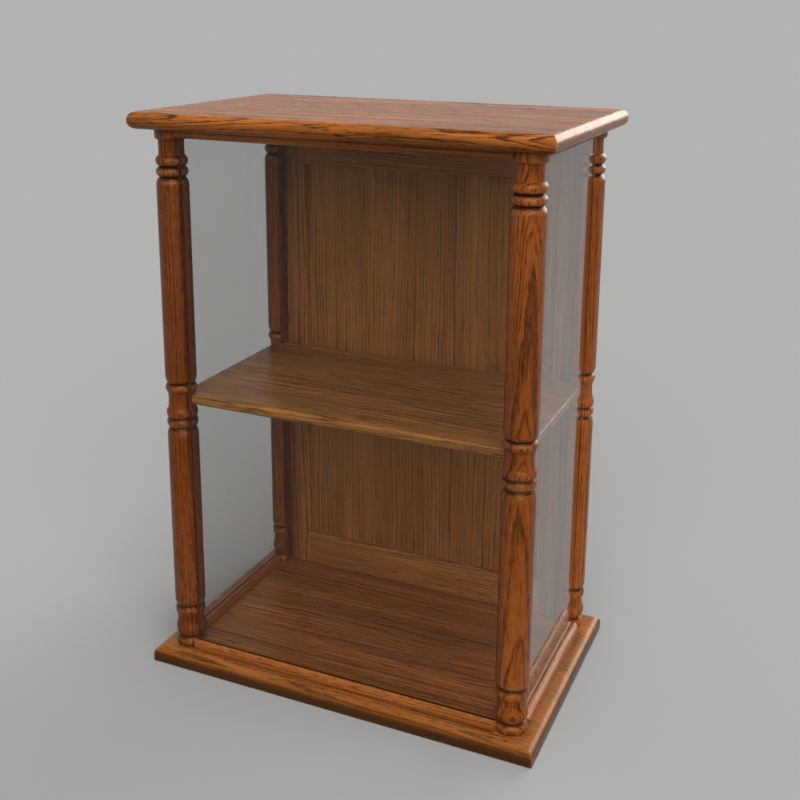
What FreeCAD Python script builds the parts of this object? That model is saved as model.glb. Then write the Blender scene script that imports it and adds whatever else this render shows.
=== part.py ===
# Counter-top display case: two boards on four turned posts, three panes of glass, a fixed shelf
# and a framed door at the back. Millimetres, +Z up, front faces -Y, origin under the base's centre.
import FreeCAD, Part
import math
import os

from FreeCAD import Vector

# Boards
BOARD_WIDTH = 498.0
BOARD_DEPTH = 306.0
BOARD_THICK = 20.0
TOP_NOSE = 9.0
BASE_ROUND = 10.0
BASE_EASE = 2.0
CASE_HEIGHT = 692.0

# Posts
POST_SPAN_X = 427.0
POST_SPAN_Y = 239.0
POST_RADIUS = 19.0
BEAD_RADIUS = 18.8
TENON_RADIUS = 9.5
TENON_LENGTH = 12.0
BORE_PLAY = 0.1
DOOR_FLAT = 9.0

# Glass and its half-round rails
GLASS_THICK = 3.0
GLASS_GROOVE = 3.4
GLASS_OUTSET = 7.5
GLASS_EDGE = 11.5
GROOVE_FLOOR = 11.0
RAIL_WIDTH = 22.0
RAIL_HEIGHT = 10.0
RAIL_GROOVE_DEPTH = 6.0
RAIL_END_INSET = 12.0
RAIL_TIP_ROUND = 8.0
GLASS_SEAT_PLAY = 0.4

# Shelf
SHELF_TOP = 354.0
SHELF_THICK = 12.5
SHELF_ROUND = 4.5
SHELF_SIDE_ROUND = 3.0
SHELF_OUTSET = 2.5
SHELF_NOTCH = 16.4
SHELF_REAR_GAP = 2.0

# Door and the header above it
DOOR_FRONT = 118.0
DOOR_THICK = 18.0
DOOR_BOTTOM = 22.0
DOOR_HINGE_GAP = 3.2
DOOR_LATCH_GAP = 2.0
HEADER_HEIGHT = 20.0
HEADER_GAP = 2.0
STILE_WIDTH = 30.0
RAIL_FACE = 47.0
STICKING = 4.0
PANEL_THICK = 6.0
PANEL_PLAY = 0.2
FRAME_GROOVE_DEPTH = 8.0
PANEL_TONGUE = 7.0
TENON_PLAY = 0.3

# Butt hinges
HINGE_HEIGHT = 48.0
HINGE_UPPER = 540.0
HINGE_LOWER = 130.0
LEAF_THICK = 1.2
LEAF_DEPTH = 13.0
KNUCKLE_RADIUS = 3.0
PIN_RADIUS = 1.5
PIN_PLAY = 0.05
PIN_HEAD = 2.4
PIN_HEAD_END = 1.5
PIN_TIP = 1.2
KNUCKLE_COUNT = 3
KNUCKLE_GAP = 0.3
BARREL_STANDOFF = 3.3

# Screws
SCREW_RADIUS = 1.4
SCREW_HEAD = 2.7
SCREW_LENGTH = 13.0
SCREW_TIP = 3.0
SCREW_SLOT = 0.7
SCREW_SLOT_DEPTH = 0.5
SCREWS_PER_LEAF = 3

# Knob and turn button
KNOB_HEIGHT = 320.0
KNOB_REACH = 14.5
KNOB_HEAD = 8.5
KNOB_RIM = 1.5
KNOB_RIM_AT = 10.0
KNOB_WAIST = 4.5
KNOB_WAIST_AT = 4.5
KNOB_FOOT = 6.0
KNOB_FOOT_THICK = 1.0
KNOB_SCREW_RADIUS = 2.0
KNOB_SCREW_HEAD = 3.8
KNOB_SCREW_HEAD_THICK = 1.6
KNOB_SCREW_BITE = 8.0
BUTTON_LENGTH = 25.0
BUTTON_WIDTH = 9.0
BUTTON_THICK = 2.5
BUTTON_GAP = 0.3
BUTTON_ABOVE_DOOR = 8.0
BUTTON_SCREW_RADIUS = 1.6
BUTTON_SCREW_HEAD = 3.4
BUTTON_SCREW_HEAD_THICK = 1.8
BUTTON_SCREW_LENGTH = 12.0
BUTTON_PIVOT_PLAY = 0.08

# Worked out from the sizes above
BASE_TOP = BOARD_THICK
TOP_UNDER = CASE_HEIGHT - BOARD_THICK
POST_LENGTH = TOP_UNDER - BASE_TOP
POST_X = POST_SPAN_X / 2
POST_Y = POST_SPAN_Y / 2
GLASS_X = POST_X + GLASS_OUTSET
GLASS_Y = POST_Y + GLASS_OUTSET
DOOR_BACK = DOOR_FRONT + DOOR_THICK
DOOR_TOP = TOP_UNDER - HEADER_HEIGHT - HEADER_GAP
FLAT_X = POST_X - DOOR_FLAT
DOOR_LEFT = -FLAT_X + DOOR_HINGE_GAP
DOOR_RIGHT = FLAT_X - DOOR_LATCH_GAP
OPENING_LEFT = DOOR_LEFT + STILE_WIDTH
OPENING_RIGHT = DOOR_RIGHT - STILE_WIDTH
OPENING_BOTTOM = DOOR_BOTTOM + RAIL_FACE
OPENING_TOP = DOOR_TOP - RAIL_FACE
DOOR_MIDDLE = (DOOR_FRONT + DOOR_BACK) / 2
HINGE_AXIS_X = -FLAT_X + DOOR_HINGE_GAP / 2
HINGE_AXIS_Y = DOOR_BACK + BARREL_STANDOFF

# Turned outline of a post, from the foot up. Each point is a radius and a height above the base board.
# A line goes to its point, an arc goes through its first point to its second, and a shoulder is the
# round between a groove and the plain shaft that it meets without a step.
POST_OUTLINE = [
    ("line", 17.2, 0.0),
    ("arc", 18.4, 6.0, 15.0, 12.0),
    ("line", 15.0, 13.0),
    ("arc", 18.8, 22.0, 17.5, 30.0),
    ("arc", 16.7, 36.0, 17.0, 42.0),
    ("arc", 18.7, 48.2, 16.2, 54.5),
    ("line", 16.2, 55.5),
    ("shoulder up", POST_RADIUS, 62.5),
    ("line", POST_RADIUS, 281.5),
    ("shoulder down", 15.6, 292.5),
    ("arc", POST_RADIUS, 298.7, 16.8, 304.5),
    ("arc", POST_RADIUS, 310.6, 16.9, 317.0),
    ("arc", 16.0, 326.5, 16.6, 337.0),
    ("arc", POST_RADIUS, 342.4, 16.0, 348.3),
    ("shoulder up", POST_RADIUS, 357.5),
    ("line", POST_RADIUS, 588.0),
    ("shoulder down", 14.8, 597.0),
    ("arc", BEAD_RADIUS, 602.9, 14.8, 609.0),
    ("arc", BEAD_RADIUS, 615.5, 15.3, 621.7),
    ("arc", 14.9, 631.0, 15.2, 640.0),
    ("line", 17.6, 640.4),
    ("shoulder up", POST_RADIUS, 644.0),
    ("line", POST_RADIUS, 650.0),
    ("shoulder down", 18.0, POST_LENGTH),
]


def box(x0, x1, y0, y1, z0, z1):
    return Part.makeBox(x1 - x0, y1 - y0, z1 - z0, Vector(x0, y0, z0))


def cylinder(base, axis, radius, length):
    return Part.makeCylinder(radius, length, base, axis)


def join(shapes):
    return shapes[0].multiFuse(shapes[1:]).removeSplitter()


def export(name, shape):
    shape.exportStep("parts/" + name + ".step")


def rounded_section(half, low, high, top_round, bottom_round):
    """Closed outline in width and height with its upper and lower corners rounded."""
    def corner(side, level, radius, upwards):
        cut = radius * (1 - math.sqrt(0.5))
        inner = Vector(side * (half - radius), level, 0)
        outer = Vector(side * half, level - upwards * radius, 0)
        middle = Vector(side * (half - cut), level - upwards * cut, 0)
        return inner, middle, outer

    upper_right = corner(1, high, top_round, 1)
    upper_left = corner(-1, high, top_round, 1)
    lower_right = corner(1, low, bottom_round, -1)
    lower_left = corner(-1, low, bottom_round, -1)
    edges = [
        Part.LineSegment(upper_left[0], upper_right[0]),
        Part.Arc(*upper_right),
        Part.LineSegment(upper_right[2], lower_right[2]),
        Part.Arc(*reversed(lower_right)),
        Part.LineSegment(lower_right[0], lower_left[0]),
        Part.Arc(*lower_left),
        Part.LineSegment(lower_left[2], upper_left[2]),
        Part.Arc(*reversed(upper_left)),
    ]
    return Part.Wire([edge.toShape() for edge in edges])


def prism_along_y(wire, y0, y1):
    """Stands a width-and-height outline up in XZ and carries it from y0 to y1."""
    face = Part.Face(wire)
    face.rotate(Vector(0, 0, 0), Vector(1, 0, 0), 90)
    face.translate(Vector(0, y0, 0))
    return face.extrude(Vector(0, y1 - y0, 0))


def prism_along_x(wire, x0, x1):
    """Stands a depth-and-height outline up in YZ and carries it from x0 to x1."""
    face = Part.Face(wire)
    face.rotate(Vector(0, 0, 0), Vector(1, 0, 0), 90)
    face.rotate(Vector(0, 0, 0), Vector(0, 0, 1), 90)
    face.translate(Vector(x0, 0, 0))
    return face.extrude(Vector(x1 - x0, 0, 0))


def edged_board(low, high, top_round, bottom_round):
    """Board whose rounded edges meet in crisp mitres at the corners."""
    half_x = BOARD_WIDTH / 2
    half_y = BOARD_DEPTH / 2
    across = prism_along_y(rounded_section(half_x, low, high, top_round, bottom_round), -half_y, half_y)
    along = prism_along_x(rounded_section(half_y, low, high, top_round, bottom_round), -half_x, half_x)
    return across.common(along)


def post_corners():
    return {
        "front_left": (-1, -1),
        "front_right": (1, -1),
        "rear_left": (-1, 1),
        "rear_right": (1, 1),
    }


def round_middle(level, end, run):
    """Level and run at the middle of an arc that leaves level squarely and falls to end over run."""
    drop = level - end
    radius = (drop * drop + run * run) / (2 * drop)
    half_turn = math.asin(run / radius) / 2
    return level - radius * (1 - math.cos(half_turn)), radius * math.sin(half_turn)


def turned_post(x, y):
    """One turned post with its round tenons, before grooves and flats."""
    def at(radius, height):
        return Vector(x + radius, y, BASE_TOP + height)

    points = [at(0, -TENON_LENGTH), at(TENON_RADIUS, -TENON_LENGTH), at(TENON_RADIUS, 0)]
    edges = [Part.LineSegment(points[0], points[1]), Part.LineSegment(points[1], points[2])]
    last_radius = TENON_RADIUS
    last_height = 0.0
    for step in POST_OUTLINE:
        start = at(last_radius, last_height)
        radius, height = step[-2], step[-1]
        end = at(radius, height)
        if step[0] == "line":
            edges.append(Part.LineSegment(start, end))
        elif step[0] == "arc":
            edges.append(Part.Arc(start, at(step[1], step[2]), end))
        elif step[0] == "shoulder up":
            middle_radius, rise = round_middle(radius, last_radius, height - last_height)
            edges.append(Part.Arc(start, at(middle_radius, height - rise), end))
        else:
            middle_radius, rise = round_middle(last_radius, radius, height - last_height)
            edges.append(Part.Arc(start, at(middle_radius, last_height + rise), end))
        last_radius, last_height = radius, height
    tip = POST_LENGTH + TENON_LENGTH
    ends = [at(last_radius, last_height), at(TENON_RADIUS, POST_LENGTH), at(TENON_RADIUS, tip), at(0, tip)]
    ends.append(points[0])
    for start, end in zip(ends, ends[1:]):
        edges.append(Part.LineSegment(start, end))
    face = Part.Face(Part.Wire([edge.toShape() for edge in edges]))
    return face.revolve(Vector(x, y, 0), Vector(0, 0, 1), 360)


def groove_cut(x, y, side_x, side_y, faces_x):
    """Glass groove in a post, opening towards the middle of the case along X or along Y."""
    half = GLASS_GROOVE / 2
    reach = POST_RADIUS + 1
    if faces_x:
        plane = y + side_y * GLASS_OUTSET
        ends = sorted((x - side_x * GROOVE_FLOOR, x - side_x * reach))
        return box(ends[0], ends[1], plane - half, plane + half, BASE_TOP, TOP_UNDER)
    plane = x + side_x * GLASS_OUTSET
    ends = sorted((y - side_y * GROOVE_FLOOR, y - side_y * reach))
    return box(plane - half, plane + half, ends[0], ends[1], BASE_TOP, TOP_UNDER)


def flat_cut(x, y, side_x):
    """Waste taken off a rear post to leave a flat facing the door."""
    ends = sorted((x - side_x * DOOR_FLAT, x - side_x * (POST_RADIUS + 1)))
    reach = POST_RADIUS + 1
    return box(ends[0], ends[1], y - reach, y + reach, BASE_TOP, TOP_UNDER)


def make_posts():
    plain = {}
    posts = {}
    for name, (side_x, side_y) in post_corners().items():
        x, y = side_x * POST_X, side_y * POST_Y
        post = turned_post(x, y)
        plain[name] = post
        cuts = [groove_cut(x, y, side_x, side_y, False)]
        if side_y < 0:
            cuts.append(groove_cut(x, y, side_x, side_y, True))
        else:
            cuts.append(flat_cut(x, y, side_x))
        posts[name] = post.cut(cuts)
    return plain, posts


def make_boards():
    base = edged_board(0, BOARD_THICK, BASE_ROUND, BASE_EASE)
    top = edged_board(TOP_UNDER, CASE_HEIGHT, TOP_NOSE, TOP_NOSE)
    bore = TENON_RADIUS + BORE_PLAY
    depth = TENON_LENGTH + BORE_PLAY
    base_bores = []
    top_bores = []
    for side_x, side_y in post_corners().values():
        x, y = side_x * POST_X, side_y * POST_Y
        base_bores.append(cylinder(Vector(x, y, BASE_TOP - depth), Vector(0, 0, 1), bore, depth))
        top_bores.append(cylinder(Vector(x, y, TOP_UNDER), Vector(0, 0, 1), bore, depth))
    return base.cut(base_bores), top.cut(top_bores)


def rail_blank(length):
    """Half-round rail lying along X on Z = 0, grooved along its crest, with rounded outer tips."""
    half = RAIL_WIDTH / 2
    arc = Part.Arc(Vector(-half, 0, 0), Vector(0, RAIL_HEIGHT, 0), Vector(half, 0, 0))
    floor = Part.LineSegment(Vector(half, 0, 0), Vector(-half, 0, 0))
    wire = Part.Wire([arc.toShape(), floor.toShape()])
    rail = prism_along_x(wire, -length / 2, length / 2)
    groove = GLASS_GROOVE / 2
    floor_level = RAIL_HEIGHT - RAIL_GROOVE_DEPTH
    rail = rail.cut(box(-length / 2, length / 2, -groove, groove, floor_level, RAIL_HEIGHT + 1))
    plan = box(-length / 2, length / 2, -half, half, 0, RAIL_HEIGHT)
    outer = [edge for edge in plan.Edges if is_outer_tip(edge, half)]
    return rail.common(plan.makeFillet(RAIL_TIP_ROUND, outer))


def is_outer_tip(edge, half):
    """True for the upright edges at the outer corners of a rail's plan."""
    first, last = edge.Vertexes[0].Point, edge.Vertexes[1].Point
    upright = abs(first.x - last.x) < 1e-6 and abs(first.y - last.y) < 1e-6
    return upright and first.y < -half + 1e-6


def make_rails(plain_posts):
    """Six rails, each coped round the posts that it stands between."""
    long_rail = rail_blank(POST_SPAN_X - 2 * RAIL_END_INSET)
    short_rail = rail_blank(POST_SPAN_Y - 2 * RAIL_END_INSET)
    places = {
        "front": (long_rail, 0, Vector(0, -GLASS_Y, 0)),
        "right": (short_rail, 90, Vector(GLASS_X, 0, 0)),
        "left": (short_rail, -90, Vector(-GLASS_X, 0, 0)),
    }
    rails = {}
    for side, (blank, turn, place) in places.items():
        bottom = blank.copy()
        bottom.rotate(Vector(0, 0, 0), Vector(0, 0, 1), turn)
        top = bottom.mirror(Vector(0, 0, 0), Vector(0, 0, 1))
        bottom.translate(place + Vector(0, 0, BASE_TOP))
        top.translate(place + Vector(0, 0, TOP_UNDER))
        rails["bottom_rail_" + side] = bottom.cut(list(plain_posts.values()))
        rails["top_rail_" + side] = top.cut(list(plain_posts.values()))
    return rails


def make_glass():
    low = BASE_TOP + RAIL_HEIGHT - RAIL_GROOVE_DEPTH + GLASS_SEAT_PLAY
    high = TOP_UNDER - RAIL_HEIGHT + RAIL_GROOVE_DEPTH - GLASS_SEAT_PLAY
    half = GLASS_THICK / 2
    wide = POST_X - GLASS_EDGE
    deep = POST_Y - GLASS_EDGE
    return {
        "glass_front": box(-wide, wide, -GLASS_Y - half, -GLASS_Y + half, low, high),
        "glass_left": box(-GLASS_X - half, -GLASS_X + half, -deep, deep, low, high),
        "glass_right": box(GLASS_X - half, GLASS_X + half, -deep, deep, low, high),
    }


def make_shelf():
    """Shelf with rounded edges, notched round the four posts' necks."""
    low = SHELF_TOP - SHELF_THICK
    half_x = POST_X + SHELF_OUTSET
    front = -(POST_Y + SHELF_OUTSET)
    rear = DOOR_FRONT - SHELF_REAR_GAP
    middle = (front + rear) / 2
    half_y = (rear - front) / 2
    across = rounded_section(half_x, low, SHELF_TOP, SHELF_SIDE_ROUND, SHELF_SIDE_ROUND)
    along = rounded_section(half_y, low, SHELF_TOP, SHELF_ROUND, SHELF_ROUND)
    body = prism_along_x(along, -half_x, half_x)
    body.translate(Vector(0, middle, 0))
    board = prism_along_y(across, front, rear).common(body)
    notches = []
    for side_x, side_y in post_corners().values():
        foot = Vector(side_x * POST_X, side_y * POST_Y, low)
        notches.append(cylinder(foot, Vector(0, 0, 1), SHELF_NOTCH, SHELF_THICK))
    return board.cut(notches)


def sticking_cut():
    """Bevel round the panel opening on the inner face, mitred at its corners."""
    def corners(grow, y):
        return [
            Vector(OPENING_LEFT - grow, y, OPENING_BOTTOM - grow),
            Vector(OPENING_RIGHT + grow, y, OPENING_BOTTOM - grow),
            Vector(OPENING_RIGHT + grow, y, OPENING_TOP + grow),
            Vector(OPENING_LEFT - grow, y, OPENING_TOP + grow),
        ]

    wide = corners(STICKING, DOOR_FRONT)
    narrow = corners(0, DOOR_FRONT + STICKING)
    outlines = [wide, narrow]
    for index in range(4):
        after = (index + 1) % 4
        outlines.append([wide[index], wide[after], narrow[after], narrow[index]])
    faces = [Part.Face(Part.makePolygon(points + points[:1])) for points in outlines]
    return Part.Solid(Part.Shell(faces))


def make_door_frame():
    """Grooved stiles, rails with stub tenons, and the flat panel that they hold."""
    half = PANEL_THICK / 2 + PANEL_PLAY
    groove_front = DOOR_MIDDLE - half
    groove_back = DOOR_MIDDLE + half
    bevel = sticking_cut()

    def stile(x0, x1, groove_x0, groove_x1):
        body = box(x0, x1, DOOR_FRONT, DOOR_BACK, DOOR_BOTTOM, DOOR_TOP)
        groove = box(groove_x0, groove_x1, groove_front, groove_back, DOOR_BOTTOM, DOOR_TOP)
        return body.cut([groove, bevel])

    def rail(z0, z1, groove_z0, groove_z1):
        body = box(OPENING_LEFT, OPENING_RIGHT, DOOR_FRONT, DOOR_BACK, z0, z1)
        reach = FRAME_GROOVE_DEPTH - TENON_PLAY
        tongue_half = half - PANEL_PLAY / 2
        tenons = box(OPENING_LEFT - reach, OPENING_RIGHT + reach,
                     DOOR_MIDDLE - tongue_half, DOOR_MIDDLE + tongue_half, z0, z1)
        groove = box(OPENING_LEFT - reach, OPENING_RIGHT + reach,
                     groove_front, groove_back, groove_z0, groove_z1)
        return join([body, tenons]).cut([groove, bevel])

    depth = FRAME_GROOVE_DEPTH
    panel = box(OPENING_LEFT - PANEL_TONGUE, OPENING_RIGHT + PANEL_TONGUE,
                DOOR_MIDDLE - PANEL_THICK / 2, DOOR_MIDDLE + PANEL_THICK / 2,
                OPENING_BOTTOM - PANEL_TONGUE, OPENING_TOP + PANEL_TONGUE)
    return {
        "door_hinge_stile": stile(DOOR_LEFT, OPENING_LEFT, OPENING_LEFT - depth, OPENING_LEFT),
        "door_latch_stile": stile(OPENING_RIGHT, DOOR_RIGHT, OPENING_RIGHT, OPENING_RIGHT + depth),
        "door_top_rail": rail(OPENING_TOP, DOOR_TOP, OPENING_TOP, OPENING_TOP + depth),
        "door_bottom_rail": rail(DOOR_BOTTOM, OPENING_BOTTOM, OPENING_BOTTOM - depth, OPENING_BOTTOM),
        "door_panel": panel,
    }


def make_header():
    return box(-FLAT_X, FLAT_X, DOOR_FRONT, DOOR_BACK, TOP_UNDER - HEADER_HEIGHT, TOP_UNDER)


def hinge_leaf(centre, on_door):
    """Leaf plate with its own knuckles, bored for the pin."""
    low = centre - HINGE_HEIGHT / 2
    pitch = HINGE_HEIGHT / KNUCKLE_COUNT
    if on_door:
        x0, x1 = DOOR_LEFT - LEAF_THICK, DOOR_LEFT
    else:
        x0, x1 = -FLAT_X, -FLAT_X + LEAF_THICK
    solids = [box(x0, x1, DOOR_BACK - LEAF_DEPTH, DOOR_BACK, low, low + HINGE_HEIGHT)]
    for index in range(KNUCKLE_COUNT):
        if (index % 2 == 1) != on_door:
            continue
        z0 = low + index * pitch
        z1 = z0 + pitch
        if on_door:
            z0 += KNUCKLE_GAP
            z1 -= KNUCKLE_GAP
        axis_point = Vector(HINGE_AXIS_X, HINGE_AXIS_Y, z0)
        solids.append(cylinder(axis_point, Vector(0, 0, 1), KNUCKLE_RADIUS, z1 - z0))
        solids.append(box(x0, x1, DOOR_BACK, HINGE_AXIS_Y, z0, z1))
    bore_start = Vector(HINGE_AXIS_X, HINGE_AXIS_Y, low)
    bore = cylinder(bore_start, Vector(0, 0, 1), PIN_RADIUS + PIN_PLAY, HINGE_HEIGHT)
    return join(solids).cut(bore)


def hinge_pin(centre):
    """Pin with a small tapered head showing at each end of the barrel."""
    low = centre - HINGE_HEIGHT / 2
    shank = cylinder(Vector(HINGE_AXIS_X, HINGE_AXIS_Y, low), Vector(0, 0, 1), PIN_RADIUS, HINGE_HEIGHT)
    heads = []
    for level, direction in ((low + HINGE_HEIGHT, 1), (low, -1)):
        foot = Vector(HINGE_AXIS_X, HINGE_AXIS_Y, level)
        heads.append(Part.makeCone(PIN_HEAD, PIN_HEAD_END, PIN_TIP, foot, Vector(0, 0, direction)))
    return join([shank] + heads)


def wood_screw(point, axis, length):
    """Countersunk slotted screw: its flat head is flush with point, its tip lies along axis."""
    head = Part.makeCone(SCREW_HEAD, SCREW_RADIUS, LEAF_THICK, point, axis)
    shank_start = point + axis * LEAF_THICK
    shank_length = length - LEAF_THICK - SCREW_TIP
    shank = cylinder(shank_start, axis, SCREW_RADIUS, shank_length)
    tip = Part.makeCone(SCREW_RADIUS, 0, SCREW_TIP, shank_start + axis * shank_length, axis)
    return join([head, shank, tip])


def screw_slot(point, axis):
    """Waste of the driving slot across a flush screw head, running along Y."""
    reach = SCREW_HEAD + 1
    depth = axis * SCREW_SLOT_DEPTH
    x0, x1 = sorted((point.x, point.x + depth.x))
    return box(x0, x1, point.y - reach, point.y + reach, point.z - SCREW_SLOT / 2, point.z + SCREW_SLOT / 2)


def hinge_screws(on_door):
    """Uncut screw bodies and finished screws for one side of both hinges."""
    if on_door:
        x, axis = DOOR_LEFT - LEAF_THICK, Vector(1, 0, 0)
    else:
        x, axis = -FLAT_X + LEAF_THICK, Vector(-1, 0, 0)
    y = DOOR_BACK - LEAF_DEPTH / 2
    pitch = HINGE_HEIGHT / SCREWS_PER_LEAF
    bodies = []
    screws = []
    for centre in (HINGE_LOWER, HINGE_UPPER):
        for index in range(SCREWS_PER_LEAF):
            z = centre + (index - (SCREWS_PER_LEAF - 1) / 2) * pitch
            point = Vector(x, y, z)
            body = wood_screw(point, axis, SCREW_LENGTH)
            bodies.append(body)
            screws.append(body.cut(screw_slot(point, axis)))
    return bodies, screws


def make_knob():
    """Turned knob on the back of the latch stile, and the screw through the stile that holds it."""
    x = (OPENING_RIGHT + DOOR_RIGHT) / 2

    def at(radius, reach):
        return Vector(x + radius, DOOR_BACK + reach, KNOB_HEIGHT)

    neck = at(KNOB_HEAD - KNOB_RIM, KNOB_RIM_AT - KNOB_RIM * 1.6)
    rim_radius = KNOB_HEAD - KNOB_RIM
    rim_reach = KNOB_RIM_AT + KNOB_RIM * 1.4
    crown_reach, crown_radius = round_middle(KNOB_REACH, rim_reach, rim_radius)
    edges = [
        Part.LineSegment(at(0, 0), at(KNOB_FOOT, 0)),
        Part.LineSegment(at(KNOB_FOOT, 0), at(KNOB_FOOT, KNOB_FOOT_THICK)),
        Part.Arc(at(KNOB_FOOT, KNOB_FOOT_THICK), at(KNOB_WAIST, KNOB_WAIST_AT), neck),
        Part.Arc(neck, at(KNOB_HEAD, KNOB_RIM_AT), at(rim_radius, rim_reach)),
        Part.Arc(at(rim_radius, rim_reach), at(crown_radius, crown_reach), at(0, KNOB_REACH)),
        Part.LineSegment(at(0, KNOB_REACH), at(0, 0)),
    ]
    face = Part.Face(Part.Wire([edge.toShape() for edge in edges]))
    knob = face.revolve(at(0, 0), Vector(0, 1, 0), 360)
    inner = Vector(x, DOOR_FRONT, KNOB_HEIGHT)
    shank = cylinder(inner, Vector(0, 1, 0), KNOB_SCREW_RADIUS, DOOR_THICK + KNOB_SCREW_BITE)
    head = cylinder(inner, Vector(0, -1, 0), KNOB_SCREW_HEAD, KNOB_SCREW_HEAD_THICK)
    head_edges = [edge for edge in head.Edges if edge.BoundBox.YMax < DOOR_FRONT - KNOB_SCREW_HEAD_THICK / 2]
    head = head.makeFillet(KNOB_SCREW_HEAD_THICK * 0.6, [edge for edge in head_edges if edge.Closed])
    screw = join([shank, head])
    return knob.cut(screw), screw


def make_turn_button():
    """Flat turn button resting level on the header, and the round-headed screw that it turns on."""
    z = DOOR_TOP + BUTTON_ABOVE_DOOR
    y0 = DOOR_BACK + BUTTON_GAP
    half = BUTTON_LENGTH / 2 - BUTTON_WIDTH / 2
    bar = box(-half, half, y0, y0 + BUTTON_THICK, z - BUTTON_WIDTH / 2, z + BUTTON_WIDTH / 2)
    ends = []
    for x in (-half, half):
        ends.append(cylinder(Vector(x, y0, z), Vector(0, 1, 0), BUTTON_WIDTH / 2, BUTTON_THICK))
    hole = cylinder(Vector(0, y0, z), Vector(0, 1, 0), BUTTON_SCREW_RADIUS + BUTTON_PIVOT_PLAY, BUTTON_THICK)
    button = join([bar] + ends).cut(hole)
    head_at = y0 + BUTTON_THICK + BUTTON_GAP
    shank_start = Vector(0, DOOR_BACK - BUTTON_SCREW_LENGTH, z)
    shank = cylinder(shank_start, Vector(0, 1, 0), BUTTON_SCREW_RADIUS, head_at - shank_start.y)
    head = cylinder(Vector(0, head_at, z), Vector(0, 1, 0), BUTTON_SCREW_HEAD, BUTTON_SCREW_HEAD_THICK)
    outer = [edge for edge in head.Edges if edge.Closed and edge.BoundBox.YMin > head_at + 1e-6]
    head = head.makeFillet(BUTTON_SCREW_HEAD_THICK * 0.6, outer)
    return button, join([shank, head])


def main():
    os.makedirs("parts", exist_ok=True)
    nodes = {}
    plain_posts, posts = make_posts()
    nodes["base_board"], nodes["top_board"] = make_boards()
    nodes.update({"post_" + name: post for name, post in posts.items()})
    nodes.update(make_rails(plain_posts))
    nodes.update(make_glass())
    nodes["shelf"] = make_shelf()
    nodes["rear_header"] = make_header()
    nodes.update(make_door_frame())

    post_bodies, post_screws = hinge_screws(False)
    door_bodies, door_screws = hinge_screws(True)
    for label, centre in (("lower", HINGE_LOWER), ("upper", HINGE_UPPER)):
        nodes["hinge_" + label + "_post_leaf"] = hinge_leaf(centre, False).cut(post_bodies)
        nodes["hinge_" + label + "_door_leaf"] = hinge_leaf(centre, True).cut(door_bodies)
        nodes["hinge_" + label + "_pin"] = hinge_pin(centre)
    nodes["post_rear_left"] = nodes["post_rear_left"].cut(post_bodies)
    nodes["door_hinge_stile"] = nodes["door_hinge_stile"].cut(door_bodies)
    nodes["hinge_post_screws"] = Part.makeCompound(post_screws)
    nodes["hinge_door_screws"] = Part.makeCompound(door_screws)

    nodes["door_knob"], nodes["knob_screw"] = make_knob()
    nodes["door_latch_stile"] = nodes["door_latch_stile"].cut(nodes["knob_screw"])
    nodes["turn_button"], nodes["turn_button_screw"] = make_turn_button()
    nodes["rear_header"] = nodes["rear_header"].cut(nodes["turn_button_screw"])

    for name, shape in nodes.items():
        solids = len(shape.Solids)
        bounds = shape.optimalBoundingBox(False, False)
        print(name, "solids", solids, "valid", shape.isValid(), "volume", round(shape.Volume, 1),
              "box", [round(value, 2) for value in (bounds.XMin, bounds.XMax, bounds.YMin, bounds.YMax,
                                                    bounds.ZMin, bounds.ZMax)])
        export(name, shape)


main()
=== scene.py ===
import math

import bmesh
import bpy
from mathutils import Matrix, Vector


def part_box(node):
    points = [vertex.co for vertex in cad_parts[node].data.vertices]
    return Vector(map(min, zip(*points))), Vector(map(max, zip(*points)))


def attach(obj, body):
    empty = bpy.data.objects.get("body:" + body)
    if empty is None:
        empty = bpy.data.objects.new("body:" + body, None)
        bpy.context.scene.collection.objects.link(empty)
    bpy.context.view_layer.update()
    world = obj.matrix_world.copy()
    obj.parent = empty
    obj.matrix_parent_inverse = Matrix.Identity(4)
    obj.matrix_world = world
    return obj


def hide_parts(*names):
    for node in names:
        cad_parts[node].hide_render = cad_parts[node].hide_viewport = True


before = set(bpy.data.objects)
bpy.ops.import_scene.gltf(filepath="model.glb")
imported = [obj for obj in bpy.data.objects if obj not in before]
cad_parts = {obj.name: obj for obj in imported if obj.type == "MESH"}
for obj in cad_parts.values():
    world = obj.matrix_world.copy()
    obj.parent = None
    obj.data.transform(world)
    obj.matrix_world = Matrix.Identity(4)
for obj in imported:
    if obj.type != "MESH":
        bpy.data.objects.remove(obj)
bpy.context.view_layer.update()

bl_info = {
    "name": "Display Case",
    "version": (1, 0, 0),
    "blender": (4, 5, 0),
    "location": "View3D > Sidebar > Display Case",
    "description": "Builds the looks of a glazed oak display case round its packed solids",
    "category": "Object",
}

MM = 0.001
SHARP_ANGLE = math.radians(32)
MERGE_DISTANCE = 2e-6

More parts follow.
